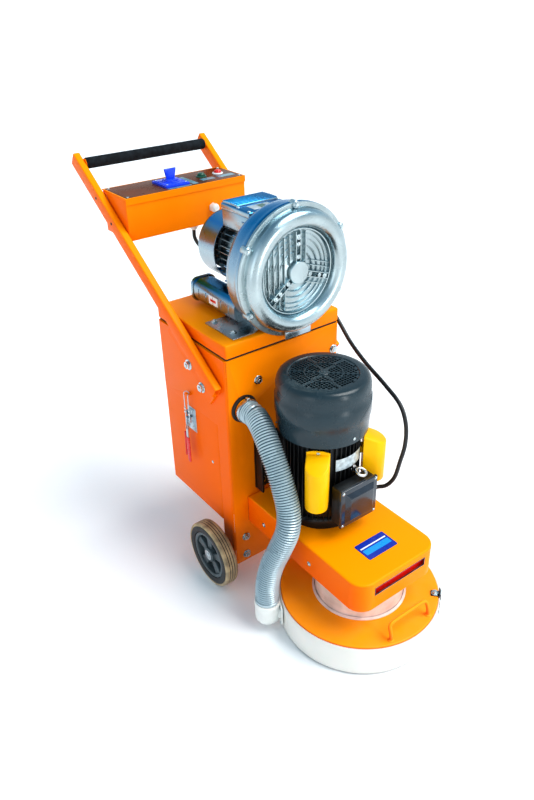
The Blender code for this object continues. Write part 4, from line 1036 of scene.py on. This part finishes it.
def makeGrip():
    ends = 0.1988
    profile = [(0.0106, ends), (0.0140, ends), (0.0155, ends - 0.0025), (0.0156, ends - 0.012), (0.0153, 0.05),
               (0.0155, -0.04), (0.0156, 0.012 - ends), (0.0155, 0.0025 - ends), (0.0140, -ends), (0.0106, -ends)]
    sleeve = lathe(profile, 64, closed=True)
    bmesh.ops.transform(sleeve, matrix=facing((0, 0.580, 1.100), (1, 0, 0)), verts=sleeve.verts)
    grip = piece("pushBarFoam", sleeve, "foam", "chassis", replaces=("grip_sleeve",))
    flanges = bmesh.new()
    for side in (-1, 1):
        pour(flanges, lathe([(0.0, 0.0), (0.0135, 0.0), (0.0135, 0.0012), (0.0, 0.0012)], 32),
             facing((side * 0.2000, 0.580, 1.100), (side, 0, 0)))
    piece("pushBarCollars", flanges, "orange", "chassis")


def makeControls():
    softened("control_box", "orange", "chassis", 0.0012, "controlBoxCase")
    softened("control_panel", "orange", "chassis", 0.0008, "controlBoxLid")
    top = control["top"]
    plate = bmesh.new()
    holes = [rodShape((x, y, 1.0), (x, y, 1.1), 0.0118, 32) for x, y in (control["start"], control["stop"])]
    pour(plate, carve(block((-0.1925, 0.3570, top - 0.0002), (0.1925, 0.4900, top + 0.0006)), *holes))
    piece("controlFacePlate", plate, "panel", "chassis")
    x, y, z = control["knob"]
    base = bmesh.new()
    pour(base, block((x - 0.039, y - 0.042, top + 0.0004), (x + 0.039, y + 0.042, z - 0.0020), 0.0030, 3, True))
    pour(base, block((x - 0.034, y - 0.037, z - 0.0030), (x + 0.034, y + 0.037, z), 0.0014, 2))
    pour(base, lathe([(0.0265, z - 0.0010), (0.0262, z + 0.0014), (0.0250, z + 0.0022), (0.0200, z + 0.0022),
                      (0.0190, z + 0.0004), (0.0190, z - 0.0010)], 48, closed=True), Matrix.Translation((x, y, 0)))
    piece("switchBase", base, "blue", "chassis", sharp=30, replaces=("switch_plate",))
    corner = [(x + a * 0.030, y + b * 0.033, z) for a in (-1, 1) for b in (-1, 1)]
    bolts("switchScrews", corner, (0, 0, 1), 0.0017, "chassis", domed=True)
    knob = bmesh.new()
    pour(knob, lathe([(0.0, z + 0.0004), (0.0175, z + 0.0004), (0.0178, z + 0.0030), (0.0165, z + 0.0058),
                      (0.0120, z + 0.0072), (0.0, z + 0.0078)], 40), Matrix.Translation((x, y, 0)))
    paddle = block((x - 0.0195, y - 0.0042, z + 0.0050), (x + 0.0195, y + 0.0042, z + 0.0355))
    for vert in paddle.verts:
        if vert.co.z < z + 0.02:
            vert.co.x = x + (vert.co.x - x) * 0.62
        else:
            vert.co.y = y + (vert.co.y - y) * 0.72
    bmesh.ops.bevel(paddle, geom=list(paddle.edges), affect="EDGES", offset=0.0022, segments=3, profile=0.5,
                    material=-1)
    pour(knob, paddle)
    piece("switchPaddle", knob, "blue", "switch_knob", sharp=40, replaces=("switch_knob",))
    for word, (bx, by), color, cad in (("start", control["start"], "green", "start_button"),
                                       ("stop", control["stop"], "red", "stop_button")):
        bezel = bmesh.new()
        pour(bezel, lathe([(0.0118, top), (0.0160, top), (0.0163, top + 0.0016), (0.0155, top + 0.0036),
                           (0.0130, top + 0.0046), (0.0119, top + 0.0040)], 40, closed=True),
             Matrix.Translation((bx, by, 0)))
        piece(word + "Bezel", bezel, "green" if word == "start" else "labelWhite", "chassis", sharp=30)
        cap = bmesh.new()
        pour(cap, lathe([(0.0, 1.0560), (0.0050, 1.0558), (0.0090, 1.0545), (0.0108, 1.0522), (0.0110, 1.0500),
                         (0.0110, 1.0330), (0.0, 1.0330)], 40), Matrix.Translation((bx, by, 0)))
        piece(word + "ButtonCap", cap, color, word + "_button", sharp=30, replaces=(cad,))
    strips = bmesh.new()
    for low, high in (((0.026, 0.366), (0.044, 0.456)), ((0.068, 0.380), (0.112, 0.402)),
                      ((0.124, 0.380), (0.180, 0.402)), ((-0.058, 0.3600), (0.018, 0.3700))):
        pour(strips, block((*low, top + 0.0005), (*high, top + 0.0012), 0.0002, 1))
    piece("legendStrips", strips, "labelTeal", "chassis")
    glands = bmesh.new()
    for at, way in (((0.080, 0.3558, 0.971), (0, -1, 0)), ((0.036, 0.400, 0.9248), (0, 0, -1))):
        pour(glands, rodShape((0, 0, 0), (0, 0, 0.0050), 0.0138, 6, bevel=0.0010), facing(at, way))
        pour(glands, lathe([(0.0, 0.0), (0.0118, 0.0), (0.0118, 0.0060), (0.0124, 0.0070), (0.0124, 0.0150),
                            (0.0105, 0.0190), (0.0078, 0.0222), (0.0, 0.0224)], 32), facing(at, way))
        for k in range(12):
            turn = Matrix.Rotation(math.radians(30 * k), 4, "Z")
            pour(glands, block((0.0118, -0.0008, 0.0075), (0.0130, 0.0008, 0.0145), 0.0003, 1), facing(at, way) @ turn)
    piece("cableGlands", glands, "white", "chassis", sharp=30, replaces=("cable_gland",))
    bolts("controlLidScrews", [(a, b, top + 0.0004) for a in (-0.184, 0.184) for b in (0.366, 0.482)], (0, 0, 1),
          0.0022, "chassis", domed=True)


makeTank()
for side, word in ((-1, "left"), (1, "right")):
    makeLatch(side, word)
makeGrip()
makeControls()
print("tank and controls")


# ---- belt cover and grinding head

head = {"y": -0.407, "sleeve": 0.1215, "ring": 0.2160, "skirt": 0.2205, "elbowAngle": 153.5, "elbowReach": 0.257}
headFrame = Matrix.Translation((0, head["y"], 0))


def coverOutline(inset):
    half, front, radius = 0.1385 - inset, -0.550 + inset, 0.045 - inset
    back = -0.0846 - (0.0 if not inset else -0.02)
    return ([(half, back), (-half, back)] + arc((-half + radius, front + radius), radius, 180, 270, 14)
            + arc((half - radius, front + radius), radius, 270, 360, 14))


def makeCover():
    shell = prism(coverOutline(0.0), 0.1900, 0.2790)
    top = [edge for edge in shell.edges if min(vert.co.z for vert in edge.verts) > 0.27]
    bmesh.ops.bevel(shell, geom=top, affect="EDGES", offset=0.0050, segments=4, profile=0.5, material=-1)
    hollow = prism(coverOutline(0.003), 0.1800, 0.2740)
    slot = block((-0.088, -0.60, 0.2340), (0.088, -0.50, 0.2590))
    shaft = rodShape((motor["x"], motor["y"], 0.20), (motor["x"], motor["y"], 0.30), 0.030, 48)
    shape = carve(shell, hollow, slot, shaft)
    piece("beltCoverSheet", shape, "orange", "chassis", sharp=30, replaces=("drive_cover",))
    trim = bmesh.new()
    for low, high in (((-0.0885, -0.5512, 0.2335), (0.0885, -0.5475, 0.2352)),
                      ((-0.0885, -0.5512, 0.2578), (0.0885, -0.5475, 0.2595)),
                      ((-0.0885, -0.5512, 0.2335), (-0.0866, -0.5475, 0.2595)),
                      ((0.0866, -0.5512, 0.2335), (0.0885, -0.5475, 0.2595))):
        pour(trim, block(low, high, 0.0005, 1))
    piece("slotTrim", trim, "castDark", "chassis")
    guard = bmesh.new()
    pour(guard, block((-0.100, -0.5400, 0.2080), (0.100, -0.5385, 0.2440), 0.0004, 1))
    piece("slotInnerGuard", guard, "red", "chassis")
    behind = bmesh.new()
    pour(behind, block((-0.110, -0.5360, 0.2420), (0.110, -0.5340, 0.2720), 0.0004, 1))
    piece("slotInnerBaffle", behind, "castDark", "chassis")
    screws = bmesh.new()
    for side in (-1, 1):
        for y, z in ((-0.159, 0.222), (-0.357, 0.224)):
            pour(screws, boltShape(0.0036, True), facing((side * 0.1386, y, z), (side, 0, 0)))
    piece("beltCoverScrews", screws, "bolt", "chassis")
    for name, low, high, color, z in (("coverLabelField", (-0.046, -0.486), (0.054, -0.426), "labelBlue", 0.2791),
                                      ("coverLabelBand", (-0.040, -0.470), (0.048, -0.452), "labelSky", 0.2796),
                                      ("coverLabelRule", (-0.040, -0.447), (0.048, -0.443), "labelWhite", 0.2796)):
        label = bmesh.new()
        pour(label, block((*low, z), (*high, z + 0.0006), 0.004 if color == "labelBlue" else 0.0014, 4, True))
        piece(name, label, color, "chassis")
    corner = bmesh.new()
    for side in (-1, 1):
        pour(corner, block((side * 0.1385 - 0.0006, -0.0852, 0.192), (side * 0.1385 + 0.0006, -0.0840, 0.2760)))
    piece("coverSeam", corner, "orangeEdge", "chassis")


def makeShroud():
    ring = [(0.1270, 0.1002), (0.1270, 0.1026), (0.1274, 0.1030), (0.2115, 0.1030), (0.2140, 0.1024), (0.2156, 0.1008),
            (0.2160, 0.0985), (0.2160, 0.0550), (0.2130, 0.0550), (0.2130, 0.0990), (0.2120, 0.1002)]
    piece("shroudRingSheet", latheAt(ring, 144), "orange", "shroud", sharp=35, replaces=("shroud_ring",))
    skirt = [(0.2166, 0.0975), (0.2172, 0.0985), (0.2198, 0.0985), (0.2205, 0.0975), (0.2205, 0.0700),
             (0.2204, 0.0380), (0.2196, 0.0210), (0.2178, 0.0100), (0.2150, 0.0035), (0.2125, 0.0035),
             (0.2150, 0.0120), (0.2164, 0.0300)]
    piece("shroudSkirtBand", latheAt(skirt, 144), "skirt", "shroud", sharp=40, replaces=("skirt",))
    heights = [0.0925 + 0.0062 * k for k in range(17)]
    outer = [(head["sleeve"] - 0.0006, z) for z in reversed(heights)]
    inner = [(head["sleeve"] - 0.0026, z) for z in heights]
    sleeve = lathe(outer + inner, 144, closed=True)
    for vert in sleeve.verts:
        angle = math.atan2(vert.co.y, vert.co.x)
        wave = (0.5 + 0.5 * math.sin(7 * angle + 62 * vert.co.z)) * (0.5 + 0.5 * math.sin(13 * angle - 90 * vert.co.z))
        swell = math.sin(math.pi * (vert.co.z - 0.092) / 0.1)
        vert.co.xy = vert.co.xy * (1 - 0.020 * wave * max(0.0, swell))
    bmesh.ops.transform(sleeve, matrix=headFrame, verts=sleeve.verts)
    piece("dustSleeveSheet", sleeve, "sleeve", "chassis", sharp=60, replaces=("dust_sleeve",))
    lip = [(0.1285, 0.1030), (0.1285, 0.1046), (0.1262, 0.1062), (0.1228, 0.1080), (0.1221, 0.1076), (0.1221, 0.1062),
           (0.1240, 0.1040), (0.1262, 0.1026)]
    piece("sleeveLip", latheAt(lip, 144), "sleeve", "shroud", sharp=50)
    route = [(-0.068, -0.597, 0.1033), (-0.068, -0.597, 0.120), (-0.0675, -0.592, 0.136), (-0.0645, -0.588, 0.1445),
             (-0.056, -0.5865, 0.1485), (-0.040, -0.586, 0.1495), (0.0, -0.586, 0.1495)]
    route = route + [(-x, y, z) for x, y, z in reversed(route[:-1])]
    spots = smoothRoute(route, 0.003)
    handle = bmesh.new()
    pour(handle, sweptTube(spots, [0.0049] * len(spots), 20))
    for x in (-0.068, 0.068):
        pour(handle, lathe([(0.0, 0.0), (0.0088, 0.0), (0.0080, 0.0016), (0.0058, 0.0032), (0.0, 0.0036)], 28),
             Matrix.Translation((x, -0.597, 0.1030)))
    piece("shroudPullHandle", handle, "orange", "shroud", sharp=60, replaces=("shroud_handle",))


def latheAt(profile, steps):
    shape = lathe(profile, steps, closed=True)
    bmesh.ops.transform(shape, matrix=headFrame, verts=shape.verts)
    return shape


def makeElbow():
    angle = math.radians(head["elbowAngle"])
    out = Vector((math.cos(angle), math.sin(angle), 0))
    centre = Vector((0, head["y"], 0))
    top = centre + out * head["elbowReach"]
    shape = bmesh.new()
    pour(shape, lathe([(0.0, 0.0280), (0.0200, 0.0285), (0.0290, 0.0320), (0.0335, 0.0395), (0.0344, 0.0500),
                       (0.0340, 0.0850), (0.0352, 0.0875), (0.0352, 0.0985), (0.0345, 0.0998), (0.0322, 0.0998),
                       (0.0318, 0.0980), (0.0312, 0.0500), (0.0, 0.0440)], 64), Matrix.Translation(top))
    pour(shape, rodShape(centre + out * 0.2235 + Vector((0, 0, 0.056)), top + Vector((0, 0, 0.056)), 0.0238, 48))
    flange = block((-0.0350, -0.0330, 0.0), (0.0350, 0.0330, 0.0045), 0.0100, 4, True)
    pour(shape, flange, facing(centre + out * 0.2212 + Vector((0, 0, 0.058)), out))
    for offset in (-0.018, 0.018):
        rib = block((-0.0015, -0.0140, 0.0), (0.0015, 0.0140, 0.0140), 0.0008, 1)
        pour(shape, rib, facing(centre + out * 0.2250 + Vector((0, 0, 0.058 + offset * 1.3)), out, math.pi / 2))
    piece("hoseElbowMoulding", shape, "white", "shroud", sharp=40, replaces=("hose_elbow",))
    frameAt = facing(centre + out * 0.2257 + Vector((0, 0, 0.058)), out)
    screws = bmesh.new()
    for a in (-0.0280, 0.0280):
        for b in (-0.0240, 0.0240):
            pour(screws, boltShape(0.0026, True), frameAt @ Matrix.Translation((a, b, 0)))
    piece("elbowScrews", screws, "bolt", "shroud")
    cuff = bmesh.new()
    pour(cuff, lathe([(0.0322, 0.1012), (0.0334, 0.1012), (0.0338, 0.1030), (0.0338, 0.1080), (0.0322, 0.1088)], 48,
                     closed=True), Matrix.Translation((top.x, top.y, 0)))
    piece("hoseEndCuff", cuff, "hose", "shroud")


def makeStrapClamp():
    angle = math.atan2(-0.153, 0.139)
    out = Vector((math.cos(angle), math.sin(angle), 0))
    along = Matrix.Rotation(angle, 4, "Z")
    lugFrame = headFrame @ along
    lug = bmesh.new()
    pour(lug, block((0.1950, -0.0100, 0.1031), (0.2190, 0.0100, 0.1060), 0.0008, 1), lugFrame)
    pour(lug, block((0.2165, -0.0100, 0.0930), (0.2195, 0.0100, 0.1200), 0.0008, 1), lugFrame)
    piece("strapLug", lug, "motor", "shroud")
    bolts("strapBolt", [headFrame @ (along @ Vector((0.2060, 0, 0.1060)))], (0, 0, 1), 0.0052, "shroud")
    pin = bmesh.new()
    pour(pin, boltShape(0.0042), lugFrame @ facing((0.2195, 0, 0.1130), (1, 0, 0)))
    piece("strapPin", pin, "bolt", "shroud")
    strap = bmesh.new()
    for k in range(9):
        height = 0.0960 - 0.0085 * k
        pour(strap, block((0.2206, -0.0035, height - 0.0046), (0.2228 + 0.0008 * (k % 2), 0.0035, height + 0.0046),
                          0.0008, 1), lugFrame)
    piece("skirtStrap", strap, "rubber", "shroud")


def makeGrindingDisc():
    shape = bmesh.new()
    pour(shape, lathe([(0.0, 0.0448), (0.1700, 0.0448), (0.1790, 0.0430), (0.1800, 0.0400), (0.1800, 0.0330),
                       (0.1785, 0.0305), (0.0, 0.0302)], 96))
    for k in range(6):
        turn = Matrix.Rotation(math.radians(60 * k), 4, "Z")
        pour(shape, lathe([(0.0, 0.0310), (0.0320, 0.0310), (0.0320, 0.0200), (0.0300, 0.0150), (0.0, 0.0150)], 36),
             turn @ Matrix.Translation((0.140, 0, 0)))
    bmesh.ops.transform(shape, matrix=headFrame, verts=shape.verts)
    piece("grindingPlate", shape, "iron", "head", sharp=35, replaces=("grinding_disc",))
    teeth = bmesh.new()
    for k in range(6):
        for j in range(3):
            turn = Matrix.Rotation(math.radians(60 * k), 4, "Z") @ Matrix.Translation((0.140, 0, 0))
            turn = turn @ Matrix.Rotation(math.radians(120 * j + 30), 4, "Z")
            pour(teeth, block((0.006, -0.0055, 0.0), (0.027, 0.0055, 0.0160), 0.0016), turn)
    bmesh.ops.transform(teeth, matrix=headFrame, verts=teeth.verts)
    piece("diamondSegments", teeth, "diamond", "head")


makeCover()
makeShroud()
makeElbow()
makeStrapClamp()
makeGrindingDisc()
print("grinding head")


# ---- wheels

wheel = {"x": 0.2445, "y": -0.049, "z": 0.100, "spokes": 5}


def makeWheel(side, word):
    place = facing((side * wheel["x"], wheel["y"], wheel["z"]), (side, 0, 0))
    body = "wheel_" + word
    tread = [(0.0930, -0.0205), (0.0970, -0.0195), (0.0994, -0.0165), (0.1000, -0.0130), (0.1000, -0.0092),
             (0.0980, -0.0088), (0.0980, -0.0070), (0.1000, -0.0066), (0.1000, -0.0012), (0.0980, -0.0008),
             (0.0980, 0.0010), (0.1000, 0.0014), (0.1000, 0.0066), (0.0980, 0.0070), (0.0980, 0.0088),
             (0.1000, 0.0092), (0.1000, 0.0130), (0.0994, 0.0165), (0.0970, 0.0195), (0.0930, 0.0205),
             (0.0900, 0.0190), (0.0900, -0.0190)]
    shape = lathe(tread, 120, closed=True)
    bmesh.ops.transform(shape, matrix=place, verts=shape.verts)
    piece("tyreTread_" + word, shape, "tread", body, sharp=40, replaces=("tyre_" + word,))
    wall = [(0.0905, -0.0205), (0.0915, -0.0188), (0.0915, 0.0188), (0.0905, 0.0205), (0.0880, 0.0209),
            (0.0780, 0.0207), (0.0740, 0.0190), (0.0727, 0.0160), (0.0727, -0.0160), (0.0740, -0.0190),
            (0.0780, -0.0207), (0.0880, -0.0209)]
    shape = lathe(wall, 96, closed=True)
    bmesh.ops.transform(shape, matrix=place, verts=shape.verts)
    piece("tyreWall_" + word, shape, "tyreWall", body, sharp=40)
    groove = bmesh.new()
    for height in (-0.0079, 0.0001, 0.0079):
        pour(groove, lathe([(0.0994, height - 0.0013), (0.0994, height + 0.0013), (0.0978, height + 0.0013),
                            (0.0978, height - 0.0013)], 96, closed=True), place)
    piece("tyreGrooves_" + word, groove, "tyreWall", body)
    hub = bmesh.new()
    pour(hub, lathe([(0.0720, -0.0180), (0.0722, -0.0160), (0.0722, 0.0160), (0.0715, 0.0182), (0.0680, 0.0186),
                     (0.0625, 0.0170), (0.0610, 0.0120), (0.0610, -0.0120), (0.0625, -0.0170), (0.0680, -0.0186)], 96,
                    closed=True), place)
    pour(hub, lathe([(0.0108, 0.0190), (0.0200, 0.0190), (0.0220, 0.0175), (0.0235, 0.0100), (0.0235, -0.0100),
                     (0.0220, -0.0175), (0.0200, -0.0190), (0.0108, -0.0190)], 64, closed=True), place)
    for k in range(wheel["spokes"]):
        spoke = block((0.0200, -0.0085, -0.0110), (0.0640, 0.0085, 0.0125))
        for vert in spoke.verts:
            if vert.co.x > 0.05:
                vert.co.y *= 1.9
        bmesh.ops.bevel(spoke, geom=list(spoke.edges), affect="EDGES", offset=0.0026, segments=3, profile=0.5,
                        material=-1)
        pour(hub, spoke, place @ Matrix.Rotation(math.radians(72 * k + 18), 4, "Z"))
    pour(hub, lathe([(0.0225, -0.0030), (0.0620, -0.0030), (0.0620, 0.0000), (0.0225, 0.0000)], 64, closed=True),
         place)
    piece("wheelHubCasting_" + word, hub, "hub", body, sharp=40, replaces=("wheel_hub_" + word,))
    cap = bmesh.new()
    pour(cap, lathe([(0.0, 0.0), (0.0155, 0.0), (0.0160, 0.0004), (0.0, 0.0010)], 32), facing(
        (side * (wheel["x"] + 0.0192), wheel["y"], wheel["z"]), (side, 0, 0)))
    pour(cap, rodShape((side * (wheel["x"] + 0.0193), wheel["y"], wheel["z"]),
                       (side * (wheel["x"] + 0.0208), wheel["y"], wheel["z"]), 0.0085, 20, bevel=0.0005))
    piece("axleCap_" + word, cap, "bolt", body)


for side, word in ((-1, "left"), (1, "right")):
    makeWheel(side, word)
print("wheels")


# ---- CAD parts that keep their own shape

kept = {
    "orange": ["deck_plate", "axle_carrier"],
    "zinc": ["latch_hook_left", "latch_hook_right"],
    "cast": ["impeller"],
    "rubber": ["lid_gasket", "drive_belt"],
    "steel": ["grip_bar", "axle", "motor_rotor", "blower_shaft", "spindle"],
    "iron": ["bearing_housing", "motor_pulley"],
    "paper": ["filter_cartridge"],
}


def dressCad():
    for material, names in kept.items():
        for name in names:
            slots = cadNodes[name].data.materials
            slots.clear()
            slots.append(paints[material])


dressCad()


# ---- floor

def makeFloor():
    shape = bmesh.new()
    bmesh.ops.create_grid(shape, x_segments=2, y_segments=2, size=60)
    mesh = bpy.data.meshes.new("studioFloor")
    shape.to_mesh(mesh)
    shape.free()
    floor = bpy.data.objects.new("studioFloor", mesh)
    scene.collection.objects.link(floor)
    floor.location.z = -0.0006
    mesh.materials.append(finish("studioFloorPaint", view["floor"], 0.75, fine=40, bump=0.0, broad=1.5, shade=0.005))


makeFloor()
